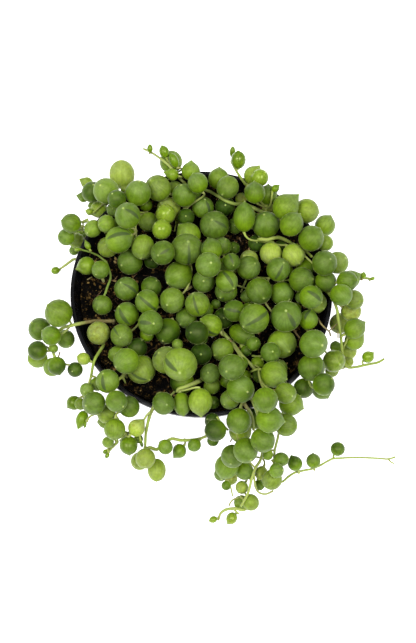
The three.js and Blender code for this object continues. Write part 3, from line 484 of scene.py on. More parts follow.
        pearl(52.6, 367, 19, 1, tip=(46, 374), tone=0.5),
        pearl(53.8, 348.6, 9, 1, tip=(55, 352), tone=0.5),
        pearl(65.6, 338.9, 19, 1, tip=(70, 346), tone=0.4, height=64),
        pearl(51.2, 335.6, 19.8, 2, tip=(41.7, 330.4), tone=0.35),
        pearl(58.6, 313.2, 28, 2, tip=(47, 304.4), tone=0.5),
        pearl(39.7, 329.1, 23.3, 1, tip=(31.5, 322), tone=0.3),
        pearl(37.5, 350.5, 19.5, 2, tip=(27.8, 347.9), tone=0.1),
        pearl(37.6, 358.3, 19.3, 1, tip=(28.4, 362), tone=0.6),
    ]),
    "strand_39": strand(droop=0.7, girth=0.7, slim=0.68, lush=0.85, beads=[
        pearl(102.3, 305, 20, 0, tip=(97, 310), tone=0.4),
        *bends(1, (105.4, 293.3), (107.6, 286.4), (110, 280), (110.5, 274.9), (108.2, 266.8),
               (105.9, 261.7), (103, 259.4), (97.9, 255.4), (89, 251.8), (81, 249.7)),
    ]),
    "strand_40": strand(droop=0.7, beads=[
        pearl(100.5, 269.8, 18.3, 1, tip=(96, 275), tone=0.35),
        pearl(86.4, 265.8, 17.7, 0, tip=(75.7, 269.2), tone=0.55, fresh=0.6),
    ]),
}

# Small leaves that only the fine plant has
SPROUTS = {
    "strand_05": [
        pearl(150, 148.5, 6, 0, tip=(150, 144), tone=0.5, fresh=0.7, long=1.3),
        pearl(176.5, 221.5, 3.4, 0, tip=(177, 218), tone=1, fresh=0.5, long=1.4),
    ],
    "strand_01": [
        pearl(80.5, 232.5, 10.5, 0, tip=(83, 237), tone=0.45, height=58),
        pearl(85, 236.5, 7, 0, tone=0.4, height=60),
    ],
    "strand_02": [
        pearl(124, 189.5, 7, 0, tip=(126, 186), tone=0.8),
        pearl(124.5, 194.5, 8, 0, tone=0.4, height=62),
    ],
    "strand_07": [pearl(232.5, 152, 6, 0, tip=(233, 146), tone=0.5, fresh=0.6, long=1.9)],
    "strand_12": [
        pearl(363.3, 275.4, 6, 0, tip=(364, 271.5), tone=0.5, fresh=0.6),
        pearl(372.5, 278.6, 3.6, 0, tip=(375, 277.5), tone=0.6, fresh=0.6, long=1.3),
    ],
    "strand_34": [
        pearl(85.2, 424.5, 3, 0, tip=(84.5, 429), tone=0.4, fresh=0.6, long=2.2),
        pearl(105.2, 451.7, 5, 0, tip=(103, 453.5), tone=0.45, fresh=0.5),
        pearl(107.2, 455.5, 4.4, 0, tip=(105.5, 458.5), tone=0.55, fresh=0.5, long=1.3),
        pearl(141.5, 444, 3.4, 0, tip=(142.5, 447.5), tone=0.1, long=1.9),
        pearl(122.5, 377, 4.6, 0, tip=(121.5, 375), tone=0.6),
    ],
    "strand_36": [pearl(213.2, 519.5, 7, 0, tip=(208.5, 521.3), tone=0.7, fresh=0.8, long=1.2)],
    "strand_39": [
        pearl(77.5, 249.6, 4, 0, tip=(74, 249.7), tone=0.6, fresh=0.4, long=1.7),
        pearl(87.6, 245.6, 6, 0, tip=(84.7, 239.5), tone=0.5, fresh=0.4, long=1.4),
    ],
}

# Bare twigs and tendrils, which only the fine plant has: strand, radius, age and the way as seen
TWIGS = (
    ("strand_13", 0.34, 0.95, ((317, 317), (322, 325), (329, 331.5), (330.5, 336))),
    ("strand_13", 0.26, 0.95, ((329, 331), (337, 324))),
    ("strand_13", 0.26, 0.9, ((338, 332), (338, 338))),
    ("strand_38", 0.28, 0.95, ((60, 352), (58, 358))),
    ("strand_38", 0.42, 0.1, ((64, 364), (69, 365))),
    ("strand_40", 0.26, 0.9, ((85, 281), (92, 277))),
    ("strand_28", 0.26, 0.95, ((230, 442), (232.5, 438))),
    ("strand_28", 0.40, 0.2, ((217, 417), (222, 424), (228, 430))),
    ("strand_28", 0.36, 0.1, ((240.9, 407.8), (243, 402))),
    ("strand_36", 0.34, 0.3, ((230.9, 487.4), (231.6, 491.5), (232.6, 495.7))),
    ("strand_36", 0.34, 0.5, ((242, 497), (233.8, 499.2), (230.3, 502.8), (229, 505.7))),
    ("strand_36", 0.42, 0.35, ((254, 474), (254.5, 481), (256.3, 489), (260, 493), (266, 494),
                               (273, 491))),
    ("strand_14", 0.40, 0.85, ((293.6, 330), (296.5, 334), (299.5, 338))),
    ("strand_23", 0.70, 0.9, ((185.7, 290), (191.6, 286.3))),
    ("strand_23", 0.45, 0.2, ((246, 280), (243.5, 286), (241, 292))),
    ("strand_23", 0.45, 0.0, ((219.5, 270.9), (228, 271.4), (236, 271.5))),
    ("strand_25", 0.45, 0.0, ((256.9, 277.4), (264, 278), (271, 278))),
    ("strand_27", 0.45, 0.0, ((252, 355.7), (257, 356.4), (261.6, 356.3))),
    ("strand_27", 0.40, 0.1, ((254.5, 365.2), (259.2, 367.6))),
    ("strand_34", 0.42, 0.2, ((120, 441), (126, 434), (131, 432))),
    ("strand_34", 0.42, 0.2, ((144.4, 419), (147, 415), (150, 412))),
    ("strand_01", 0.36, 0.1, ((81, 222), (88, 219))),
    ("strand_01", 0.36, 0.1, ((83, 222), (83, 227), (82, 232))),
    ("strand_04", 0.30, 0.1, ((176.3, 221), (175.5, 226), (174.3, 231.7))),
    ("strand_32", 0.45, 0.1, ((170, 396), (175, 391.5))),
    ("strand_37", 0.34, 0.2, ((388, 459), (391, 462), (394, 463.5))),
)


# ---- Where everything lies ----

def on_sight_line(x, y, z):
    """The point at height z on the line of sight through x, y."""
    ray = (VIEW_RIGHT * (x - FRAME_WIDE / 2) + VIEW_UP * (FRAME_HIGH / 2 - y)) / VIEW_FOCAL - TO_EYE
    return EYE + ray * ((z - EYE[2]) / ray[2])


def seen_radius(across, centre):
    """The radius of something at the centre that is seen so wide."""
    return across / 2 * float((EYE - centre) @ TO_EYE) / VIEW_FOCAL


def wall_radius(z):
    """Radius of the middle of the pot's wall at height z."""
    top = RIM_RADIUS - LIP_OVERHANG - WALL / 2
    bottom = BASE_RADIUS - WALL / 2
    return bottom + (top - bottom) * z / POT_HEIGHT


WALL_SLOPE = math.hypot(1, wall_radius(1) - wall_radius(0))


def is_outside(point):
    """Whether a point is beyond the middle of the pot's wall."""
    return math.hypot(point[0], point[1]) > wall_radius(point[2])


def clears_pot(centre, radius, outside, gap=GAP):
    """Whether a ball clears the pot's wall, on its own side of it, and the lip."""
    reach = math.hypot(centre[0], centre[1])
    lip_reach = reach - (RIM_RADIUS - (WALL + LIP_OVERHANG) / 2)
    lip_rise = centre[2] - (POT_HEIGHT - LIP_HEIGHT / 2)
    if math.hypot(lip_reach, lip_rise) < radius + LIP_HEIGHT / 2 + gap:
        return False
    if lip_rise > 0:
        return True
    room = (reach - wall_radius(centre[2])) / WALL_SLOPE
    return (room if outside else -room) > radius + WALL + GAP


class Laid:
    """The balls laid down so far: pearls, turns, and the guards along the stems."""

    def __init__(self):
        self.centres = np.zeros((0, 3))
        self.radii = np.zeros(0)
        self.strands = np.zeros(0, int)
        self.is_pearl = np.zeros(0, bool)

    def add(self, centre, radius, strand_number, is_pearl):
        """Lays one more ball."""
        self.centres = np.vstack((self.centres, centre))
        self.radii = np.append(self.radii, radius)
        self.strands = np.append(self.strands, strand_number)
        self.is_pearl = np.append(self.is_pearl, is_pearl)

    def reach(self, point):
        """How far the point is from the surface of every ball."""
        return np.linalg.norm(self.centres - point, axis=1) - self.radii

    def blocks(self, point):
        """How deep a stem at the point would lie in the balls."""
        return float(np.maximum(STEM_RADIUS - self.reach(point), 0).sum())

    def in_sight(self, points):
        """How many of the points are not hidden behind a pearl."""
        to_eye = EYE - points
        to_eye = to_eye / np.linalg.norm(to_eye, axis=1)[:, None]
        apart = self.centres[self.is_pearl][None] - points[:, None]
        ahead = (apart * to_eye[:, None]).sum(2)
        off = np.linalg.norm(apart - ahead[..., None] * to_eye[:, None], axis=2)
        hidden = (ahead > 0) & (off < self.radii[self.is_pearl])
        return int((~hidden.any(1)).sum())


def lowest_start(bead):
    """Where a bead starts from if nothing is in its way, and whether it is outside the wall."""
    if bead.height:
        return bead.height, True
    seen = on_sight_line(bead.x, bead.y, POT_HEIGHT)
    beyond = math.hypot(seen[0], seen[1]) - RIM_RADIUS
    if beyond > 0:
        return max(LOWEST, POT_HEIGHT + OVER_RIM - bead.droop * beyond), True
    return SOIL_TOP, False


def settle(bead, laid, at_least=0.0):
    """Raises a bead along its line of sight until it is clear of pot, soil and all that is laid."""
    start, outside = lowest_start(bead)
    own_stem = (laid.strands == bead.number) & ~laid.is_pearl & (bead.across == 0)
    z = max(start, at_least)
    while True:
        centre = on_sight_line(bead.x, bead.y, z)
        radius = seen_radius(bead.across, centre) if bead.across else bead.girth
        off_soil = outside or centre[2] - radius > SOIL_TOP + GAP
        free = np.all(own_stem | (laid.reach(centre) > radius + GAP))
        pot_gap = GAP if bead.across else STEM_OVER_LIP
        if off_soil and free and clears_pot(centre, radius, outside, pot_gap):
            bead.centre, bead.radius = centre, radius
            return
        z += SETTLE_STEP


def lay_stem(turns, laid):
    """Lays the turns of one stem. It is stiff, so between turns it falls no more than its sag."""
    def hold_up(bead, neighbour):
        apart = np.linalg.norm(on_sight_line(bead.x, bead.y, POT_HEIGHT)
                               - on_sight_line(neighbour.x, neighbour.y, POT_HEIGHT))
        limit = neighbour.centre[2] - STEM_SAG * apart
        if bead.centre[2] < limit:
            settle(bead, laid, limit)

    for bead in turns:
        settle(bead, laid)
    for before, bead in zip(turns, turns[1:]):
        hold_up(bead, before)
    for bead, after in zip(turns[-2::-1], turns[:0:-1]):
        hold_up(bead, after)
    for before, bead in zip([None] + turns, turns):
        if before:
            start = before.centre
            count = math.ceil(np.linalg.norm(bead.centre - start) / GUARD_SPACING)
            for i in range(1, count):
                guard = start + (bead.centre - start) * i / count
                laid.add(guard, bead.girth, bead.number, False)
        laid.add(bead.centre, bead.girth, bead.number, False)


def lay_plant():
    """Lays every pearl and stem of every strand, layer by layer."""
    steps = []
    for number, plan in enumerate(STRANDS.values()):
        turns = None
        for bead in plan.beads:
            bead.join(number, plan.droop, plan.girth)
            if turns and not bead.across and turns[0].layer == bead.layer:
                turns.append(bead)
            else:
                turns = None if bead.across else [bead]
                steps.append((bead.layer, bead, turns))
    laid = Laid()
    for _, bead, turns in sorted(steps, key=lambda step: step[0]):
        if turns:
            lay_stem(turns, laid)
        else:
            settle(bead, laid)
            laid.add(bead.centre, bead.radius, bead.number, True)
    return laid


# Pearls deep in the heap, and where the soil lies bare: middle, half width and half height as seen
DEEP_SEED, DEEP_TRIES = 11, 900
DEEP_ACROSS, DEEP_DOWN = (80, 336), (178, 412)
DEEP_SIZES, DEEP_TONES, DEEP_RISE = (13, 21), (0.1, 0.6), 5
BARE_SOIL = (
    (92, 290, 24, 56), (153, 277, 15, 15), (98, 356, 18, 26), (130, 390, 26, 14),
    (160, 392, 22, 12), (290, 366, 14, 22), (240, 188, 9, 14), (240, 238, 15, 10),
)


def fill_gaps(laid):
    """Adds the pearls that lie deep in the heap, wherever one fits on the soil between others."""
    draw = random.Random(DEEP_SEED)
    plans = list(STRANDS.values())
    for _ in range(DEEP_TRIES):
        x, y = draw.uniform(*DEEP_ACROSS), draw.uniform(*DEEP_DOWN)
        bead = pearl(x, y, draw.uniform(*DEEP_SIZES), 0, tone=draw.uniform(*DEEP_TONES))
        if any(math.hypot((x - middle) / wide, (y - level) / high) < 1
               for middle, level, wide, high in BARE_SOIL):
            continue
        seen = on_sight_line(x, y, SOIL_TOP)
        if math.hypot(seen[0], seen[1]) > wall_radius(SOIL_TOP) - 2 * WALL:
            continue
        away = np.where(laid.is_pearl, laid.reach(seen), math.inf)
        number = int(laid.strands[int(away.argmin())])
        bead.join(number, 0, STEM_RADIUS)
        settle(bead, laid)
        if bead.centre[2] < SOIL_TOP + bead.radius + DEEP_RISE:
            laid.add(bead.centre, bead.radius, number, True)
            plans[number].beads.append(bead)


def add_sprigs(laid):
    """Adds the smallest leaves and the bare twigs, which lie on top of all the rest."""
    numbers = {name: number for number, name in enumerate(STRANDS)}
    for name, sprouts in SPROUTS.items():
        plan = STRANDS[name]
        for bead in sprouts:
            bead.join(numbers[name], plan.droop, plan.girth)
            settle(bead, laid)
            laid.add(bead.centre, bead.radius, bead.number, True)
            plan.beads.append(bead)
    for name, radius, age, way in TWIGS:
        turns = [turn(x, y) for x, y in way]
        for bead in turns:
            bead.join(numbers[name], STRANDS[name].droop, radius)
        lay_stem(turns, laid)
        route = smooth_route(np.array([bead.centre for bead in turns]))
        STRANDS[name].twigs.append((route, radius, age))


def is_open(start, end, laid):
    """Whether the straight line between two beads is clear of the pot and all other strands."""
    along = end.centre - start.centre
    for i in range(1, LINK_CHECKS):
        near = start.centre + along * i / LINK_CHECKS
        if not clears_pot(near, start.girth, is_outside(near), LINK_GAP):
            return False
    share = np.clip((laid.centres - start.centre) @ along / (along @ along), 0, 1)
    away = np.linalg.norm(start.centre + share[:, None] * along - laid.centres, axis=1)
    clear = away > laid.radii + start.girth + LINK_GAP
    return bool(np.all(clear | (laid.strands == start.number)))


def parent_of(bead, earlier, laid):
    """The earlier bead of its own strand that a bead grows from: the nearest it can reach openly."""
    if not bead.across and not earlier[-1].across:
        return earlier[-1]
    ranked = sorted(earlier, key=lambda other: np.linalg.norm(bead.centre - other.centre)
                    - other.radius)
    return next((other for other in ranked if is_open(other, bead, laid)), ranked[0])


# ---- Meshes ----

class Shape:
    """The points, faces and shader values of one piece, gathered before its mesh is made."""

    def __init__(self):
        self.points, self.faces, self.slots = [], [], []
        self.local, self.look, self.mark = [], [], []
        self.count = 0

    def add(self, points, faces, slot, local, look, mark=0.0):
        """Adds one closed surface. `local` is its own place for each point, `look` its colours."""
        self.faces += [[corner + self.count for corner in face] for face in faces]
        self.slots += [slot] * len(faces)
        self.points.append(points)
        self.local.append(local)
        self.look.append(np.broadcast_to(look, (len(points), 4)))
        self.mark.append(np.full(len(points), mark))
        self.count += len(points)

    def make(self, name, materials):
        """The piece itself, riding on the part."""
        mesh = bpy.data.meshes.new(name)
        mesh.from_pydata((np.concatenate(self.points) * MM).tolist(), [], self.faces)
        values = (("local", "FLOAT_VECTOR", "vector", self.local),
                  ("look", "FLOAT_COLOR", "color", self.look),
                  ("mark", "FLOAT", "value", self.mark))
        for label, kind, field, parts in values:
            data = mesh.attributes.new(label, kind, "POINT").data
            data.foreach_set(field, np.concatenate(parts).astype(np.float32).ravel())
        for material in materials:
            mesh.materials.append(material)
        mesh.polygons.foreach_set("material_index", self.slots)
        mesh.polygons.foreach_set("use_smooth", [True] * len(self.slots))
        return place(name, mesh)


def in_scene(name, data):
    """A new object in the scene."""
    made = bpy.data.objects.new(name, data)
    bpy.context.scene.collection.objects.link(made)
    return made


def place(name, mesh):
    """A mesh as a piece that rides on the part."""
    piece = in_scene(name, mesh)
    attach(piece, "root")
    return piece


def unit(vector):
    """The vector at length 1."""
    return vector / np.linalg.norm(vector)


def ring_faces(rings, sides, first=1):
    """Quads between rings of points, numbered from `first`, facing out for rings that go down."""
    faces = []
    for i in range(rings - 1):
        for j in range(sides):
            above, beside = first + i * sides, (j + 1) % sides
            faces.append([above + j, above + sides + j, above + sides + beside, above + beside])
    return faces


def capped_faces(rings, sides):
    """Faces of a closed surface: a first point, rings of points, and a last point."""
    last = rings * sides + 1
    low = last - sides
    start = [[0, 1 + j, 1 + (j + 1) % sides] for j in range(sides)]
    end = [[last, low + (j + 1) % sides, low + j] for j in range(sides)]
    return start + ring_faces(rings, sides) + end


# A pearl's rings crowd toward its two ends. Its lobes and marks are parts of its radius.
PEARL_RINGS, PEARL_SIDES = 17, 24
RING_CROWD = 0.12
PEARL_PEAK, PEARL_NECK = 1.09, 1.05
HIGHEST_PEAK = 1.5
TIP_RISE, TIP_WIDTH = 0.035, 0.07
LOBES = 0.045
USUAL_TONES = (0.28, 0.55)

# Tips and windows that the photograph doesn't show turn by rule. A mark is how dark a window is,
# and is fainter where the tip points nearly at the eye.
TIP_TO_EYE = 0.4
WINDOW_SIDES, WINDOW_REACHES = (-1.3, 1.3), (1.3, 1.9)
SIDE_MARK, FACING_MARK, FACING_TIP = 0.75, 0.2, 0.5

# A petiole leaves its leaf straight back, or leans to its parent by one of these shares. Each
# place costs what it blocks, with more for a spot in plain sight or one that touches the pot.
PETIOLE_LENGTH, PETIOLE_RADIUS = 1.0, 0.4
PARENT_SHARES = (0, 0.35, 0.7, 1.0, 1.4, 2.0)
SIGHT_COST, POT_COST, CLEAR_GAIN = 0.25, 1.0, 0.2


def ball_angles():
    """Each point's angle from the tip and its direction, on a ball whose tip is at +Z."""
    part = np.arange(1, PEARL_RINGS + 1) / (PEARL_RINGS + 1)
    down = np.pi * (part - RING_CROWD * np.sin(2 * np.pi * part))
    down = np.concatenate(([0], np.repeat(down, PEARL_SIDES), [np.pi]))
    turns = np.tile(np.arange(PEARL_SIDES) / PEARL_SIDES, PEARL_RINGS)
    round_axis = 2 * np.pi * np.concatenate(([0], turns, [0]))
    flat = np.sin(down)
    return down, np.stack((flat * np.cos(round_axis), flat * np.sin(round_axis), np.cos(down)), 1)


BALL_DOWN, BALL_OUT = ball_angles()
BALL_FACES = capped_faces(PEARL_RINGS, PEARL_SIDES)


def cone_profile(angle, peak):
    """Radius of a unit ball with a cone that touches it and ends in a peak at angle 0."""
    touch = math.acos(1 / peak)
    return 1 / np.cos(np.clip(touch - angle, 0, touch))


def view_axes(centre):
    """The directions to the right, up and toward the eye, as seen at a point."""
    to_eye = unit(EYE - centre)
    up = unit(VIEW_UP - (VIEW_UP @ to_eye) * to_eye)
    return np.cross(up, to_eye), up, to_eye


def seen_direction(bead, spot, radius):
    """The direction from a bead's centre to a spot that is seen on it, toward the eye."""
    right, up, to_eye = view_axes(bead.centre)
    across = np.array((spot[0] - bead.x, bead.y - spot[1])) / radius
    length = math.hypot(*across)
    if length > 1:
        across = across / length
    depth = math.sqrt(max(0.0, 1 - min(1.0, length) ** 2))
    return unit(across[0] * right + across[1] * up + depth * to_eye)


def pearl_form(bead, parent, draw):
    """Sets where a pearl's tip and window point, how far its window reaches, and its peak."""
    radius = bead.across / 2
    long = bead.long
    if bead.tip:
        reach = math.hypot(bead.tip[0] - bead.x, bead.tip[1] - bead.y) / radius / long
        bead.peak = min(HIGHEST_PEAK, max(PEARL_PEAK, reach))
        axis = seen_direction(bead, bead.tip, radius * long * max(PEARL_PEAK + TIP_RISE, reach))
    else:
        bead.peak = PEARL_PEAK
        away = bead.centre - parent.centre if parent else TO_EYE
        axis = unit(unit(away) + TIP_TO_EYE * TO_EYE)
    right, up, to_eye = view_axes(bead.centre)
    if bead.window:
        toward = seen_direction(bead, bead.window, radius)
        bead.window_reach = math.acos(float(np.clip(toward @ axis, -1, 1)))
        bead.mark = 1.0
    else:
        angle = draw.uniform(*WINDOW_SIDES)
        toward = -to_eye + math.sin(angle) * right + (1 - math.cos(angle)) * up
        bead.window_reach = draw.uniform(*WINDOW_REACHES)
        bead.mark = SIDE_MARK if axis @ to_eye < FACING_TIP else FACING_MARK
    bead.side = unit(toward - (toward @ axis) * axis)
    bead.axis = axis


def find_joint(bead, parent, laid):
    """Where a pearl's petiole meets the stem: behind its base, or nearer its parent if blocked."""
    back = -bead.axis
    toward = unit(parent.centre - bead.centre) if parent else np.array((0.0, 0.0, -1.0))
    best, least = None, math.inf
    for share in PARENT_SHARES:
        heading = unit(back + share * toward)
        joint = bead.centre + heading * (bead.radius * bead.long * PEARL_NECK + PETIOLE_LENGTH)
        cost = laid.blocks(joint) + SIGHT_COST * laid.in_sight(joint[None])
        if not clears_pot(joint, STEM_RADIUS, is_outside(joint), LINK_GAP):
            cost += POT_COST
        if cost < least - CLEAR_GAIN:
            best, least = (joint, heading), cost
    bead.joint, bead.back = best


def add_pearl(shape, bead, draw):
    """One pearl: a pointed ball, a little uneven, with its tip along its axis."""
    side = bead.side
    frame_axes = np.stack((side, np.cross(bead.axis, side), bead.axis))
    radius = cone_profile(BALL_DOWN, bead.peak) * cone_profile(np.pi - BALL_DOWN, PEARL_NECK)
    radius = radius + TIP_RISE * np.exp(-((BALL_DOWN / TIP_WIDTH) ** 2))
    lobes = [unit(np.array([draw.gauss(0, 1) for _ in range(3)])) for _ in range(2)]
    radius = radius * (1 + LOBES * (BALL_OUT @ lobes[0]) * (BALL_OUT @ lobes[1]))
    stretched = BALL_OUT * (1, 1, bead.long)
    points = bead.centre + (stretched * radius[:, None] * bead.radius) @ frame_axes
    tone = bead.tone if bead.tone is not None else draw.uniform(*USUAL_TONES)
    look = (tone, draw.random(), bead.fresh, bead.window_reach / math.pi)
    shape.add(points, BALL_FACES, 0, BALL_OUT, look, bead.mark)


TUBE_SIDES = 10
SMOOTH_STEPS = 4
LINK_SAMPLES = 10
LINK_BULGES, MOST_BULGE, BULGE_WAYS, BULGE_COST = (0.2, 0.4), 3.0, 8, 0.1
LINK_STIFFNESS = 0.25
TUBE_ASKEW, LINK_ASKEW = (0.3, 0.5, 0.8), (0.2, 0.4, 0.9)


def smooth_route(points):
    """A smooth curve through the points, a few short steps for each stretch."""
    ends = [2 * points[0] - points[1]] + list(points) + [2 * points[-1] - points[-2]]
    route = []
    for before, start, end, after in zip(ends, ends[1:], ends[2:], ends[3:]):
        for step in range(SMOOTH_STEPS):
            t = step / SMOOTH_STEPS
            route.append(0.5 * (2 * start + (end - before) * t
                                + (2 * before - 5 * start + 4 * end - after) * t ** 2
                                + (3 * start - before - 3 * end + after) * t ** 3))
    route.append(points[-1])
    return np.array(route)


def add_tube(shape, route, radii, look, slot=1, ages=None):
    """A round stem along the route, closed and rounded at both ends, and of one age or of several."""
    heading = unit(route[1] - route[0])
    side = unit(np.cross(heading, TUBE_ASKEW))
    angles = 2 * np.pi * np.arange(TUBE_SIDES) / TUBE_SIDES
    points, local, along = [route[0] - heading * radii[0] / 2], [(0, 0, 0)], 0.0
    for index, middle in enumerate(route):
        ahead = unit(route[min(index + 1, len(route) - 1)] - route[max(index - 1, 0)])
        side = unit(side - (side @ ahead) * ahead)
        other = np.cross(side, ahead)
        if index > 0:
            along += float(np.linalg.norm(middle - route[index - 1]))
        for angle in angles:
            out = math.cos(angle) * side + math.sin(angle) * other
            points.append(middle + out * radii[index])
            local.append((math.cos(angle), math.sin(angle), along))
    points.append(route[-1] + unit(route[-1] - route[-2]) * radii[-1] / 2)
    local.append((0, 0, along))
    looks = np.tile(look, (len(points), 1)).astype(float)
    if ages is not None:
        looks[1:-1, 0] = np.repeat(ages, TUBE_SIDES)
    shape.add(np.array(points), capped_faces(len(route), TUBE_SIDES), slot, np.array(local), looks)


def bezier(start, out, back, end):
    """Points along a cubic curve."""
    t = np.linspace(0, 1, LINK_SAMPLES)[:, None]
    return ((1 - t) ** 3 * start + 3 * (1 - t) ** 2 * t * out
            + 3 * (1 - t) * t ** 2 * back + t ** 3 * end)


def link_route(start, heading, end, laid):
    """A curved way from one point to another, bent past the pearls and the pot if it can be."""
    apart = float(np.linalg.norm(end - start))
    ahead = unit(end - start)
    side = unit(np.cross(ahead, LINK_ASKEW))
    other = np.cross(ahead, side)
    stiff = LINK_STIFFNESS * apart
    bulges = [np.zeros(3)]
    for share in LINK_BULGES:
        amount = min(share * apart, MOST_BULGE)
        for way in range(BULGE_WAYS):
            angle = 2 * math.pi * way / BULGE_WAYS
            bulges.append(amount * (math.cos(angle) * side + math.sin(angle) * other))
    best, least = None, math.inf
    for bulge in bulges:
        route = bezier(start, start + heading * stiff + bulge, end + bulge - ahead * stiff, end)
        cost = BULGE_COST * float(np.linalg.norm(bulge)) + SIGHT_COST * laid.in_sight(route)
        for point in route[1:-1]:
            clear = clears_pot(point, PETIOLE_RADIUS, is_outside(point), LINK_GAP)
            cost += laid.blocks(point) + (0 if clear else POT_COST)
        if cost < least:
            best, least = route, cost
    return best


# ---- Materials ----

def new_material(name):
    """An empty node material: its tree and its shader."""
    material = bpy.data.materials.new(name)
    material.use_nodes = True
    return material, material.node_tree, material.node_tree.nodes["Principled BSDF"]


def feed(tree, target, inputs):
    """Sets inputs of a node, each to a value or to a link from another node."""
    for key, value in dict(inputs).items():
        if isinstance(value, bpy.types.NodeSocket):
            tree.links.new(value, target.inputs[key])
        else:
            target.inputs[key].default_value = value


def node(tree, kind, inputs=(), **settings):
    """A node with its settings and its inputs."""
    made = tree.nodes.new(kind)
    for key, value in settings.items():
        setattr(made, key, value)
    feed(tree, made, inputs)
    return made


def maths(tree, operation, *values, clamp=False):
    """The result of one sum."""
    made = node(tree, "ShaderNodeMath", enumerate(values), operation=operation, use_clamp=clamp)
    return made.outputs[0]


def plus(tree, first, second, clamp=False):
    """The two values together."""
    return maths(tree, "ADD", first, second, clamp=clamp)


def minus(tree, first, second):
    """The first value less the second."""
    return maths(tree, "SUBTRACT", first, second)


def times(tree, first, second):
    """The product of two values."""
    return maths(tree, "MULTIPLY", first, second)


def attribute(tree, name):
    """The outputs of a value that the mesh carries at its points."""
    return node(tree, "ShaderNodeAttribute", attribute_name=name).outputs


def parts_of(tree, colour):
    """The three parts of a colour."""
    return node(tree, "ShaderNodeSeparateColor", {"Color": colour}).outputs


def shaded(tree, colour, value):
    """The colour, made as light as the value."""
    inputs = {"Red": value, "Green": value, "Blue": value}
    grey = node(tree, "ShaderNodeCombineColor", inputs).outputs[0]
    return blend_colours(tree, 1.0, colour, grey, "MULTIPLY")


def blend_colours(tree, share, first, second, kind="MIX"):
    """The result of mixing two colours."""
    inputs = {"Factor": share, MIX_FIRST: first, MIX_SECOND: second}
    made = node(tree, "ShaderNodeMix", inputs, data_type="RGBA", blend_type=kind)
    return made.outputs[MIX_RESULT]


def span(tree, value, low, high, to_low=0.0, to_high=1.0):
    """The value, moved smoothly from one span to another and kept inside it."""
    inputs = {"Value": value, "From Min": low, "From Max": high, "To Min": to_low, "To Max": to_high}
    return node(tree, "ShaderNodeMapRange", inputs, interpolation_type="SMOOTHSTEP").outputs[0]


def ramp(tree, value, stops):
    """The colour at a value, between stops of (place, colour)."""
    made = node(tree, "ShaderNodeValToRGB", {"Fac": value})
    elements = made.color_ramp.elements
    while len(elements) < len(stops):
        elements.new(0.5)
    for element, (place_at, colour) in zip(elements, stops):
        element.position = place_at
        element.color = (*colour, 1)
    return made.outputs[0]


def grain(tree, scale, detail=3.0, vector=None):
    """Cloudy noise from 0 to 1, in the object's own place unless a vector is given."""
    vector = vector or node(tree, "ShaderNodeTexCoord").outputs["Object"]
    inputs = {"Vector": vector, "Scale": scale, "Detail": detail}
    return node(tree, "ShaderNodeTexNoise", inputs).outputs["Fac"]


def spread(tree, cloudy, low=0.0, high=1.0):
    """Cloudy noise, stretched over the whole way from low to high."""
    return span(tree, cloudy, *NOISE_RANGE, low, high)


def drawn_out(tree, vector, share):
    """The vector with its third part shortened, so that noise runs along it in streaks."""
    inputs = {0: vector, 1: (1, 1, share)}
    return node(tree, "ShaderNodeVectorMath", inputs, operation="MULTIPLY").outputs[0]


def bump(tree, shader, height, strength, distance):
    """Raises the surface by a height, in metres at its most."""
    inputs = {"Height": height, "Strength": strength, "Distance": distance}
    feed(tree, shader, {"Normal": node(tree, "ShaderNodeBump", inputs).outputs["Normal"]})


# Places of the colours among the mix node's inputs and outputs
MIX_FIRST, MIX_SECOND, MIX_RESULT = 6, 7, 2

# Where most of a noise lies. Each scale counts by the metre, or in a leaf's or a stem's own place.
NOISE_RANGE = (0.3, 0.7)

# Leaf. Its spans go by its height, which is 1 at its tip and -1 at its base.
# A pearl's tone runs from dark blue-green to light yellow-green. Besides its own colour it is partly
# painted shade, low on pearls deep in shadow, and partly painted light, high on some pearls that hang
# in shadow.
PEARL_TONES = (
    (0.0, (0.014, 0.038, 0.001)),
    (0.35, (0.074, 0.135, 0.004)),
    (0.6, (0.140, 0.212, 0.014)),
    (0.85, (0.235, 0.290, 0.042)),
    (1.0, (0.340, 0.390, 0.080)),
)
PATCH_SCALE, PATCH_DETAIL, TONE_UNEVEN = 260, 4, 0.42
BASE_GREEN = (0.135, 0.230, 0.002, 1)
BASE_SPAN, BASE_SHARE = (0.5, -0.95), 0.55
BLOOM_GREEN = (0.106, 0.156, 0.054, 1)
BLOOM_SPAN, BLOOM_NOISE, BLOOM_SHARES = (-0.5, 0.9), (0.35, 0.65), (0.1, 0.5)
BLOOM_TONES, LEAST_BLOOM = (0.05, 0.4), 0.1
BLOTCH_BROWN = (0.150, 0.140, 0.010, 1)
BLOTCH_SCALE, BLOTCH_NOISE, BLOTCH_TONES, BLOTCH_SHARE = 620, (0.52, 0.66), (0.87, 0.9), 0.5
LINE_SCALE, LINE_PINCH, LINE_DRIFT, LINE_CONTRAST = 9, 0.02, 0.15, 0.1
SPECK_SCALE, SPECK_CONTRAST, LEAF_SHADES = 900, 0.13, (0.86, 1.12)
WINDOW_GREEN = (0.028, 0.046, 0.018, 1)
WINDOW_FROM, WINDOW_WIDE, WINDOW_WIDTHS = 0.16, 0.14, (0.85, 1.4)
WINDOW_EDGE, WINDOW_SHARE = (-0.02, 0.06), 0.8
TIP_PALE = (0.300, 0.360, 0.110, 1)
TIP_EDGE, TIP_SHARES = (0.12, 0.05), (0.5, 1.0)
LEAF_ROUGHNESS, FRESH_GLOSS = (0.46, 0.56), 0.28
SKIN_SCALE, SKIN_DETAIL, SKIN_SHARE = 2200, 2, 0.4


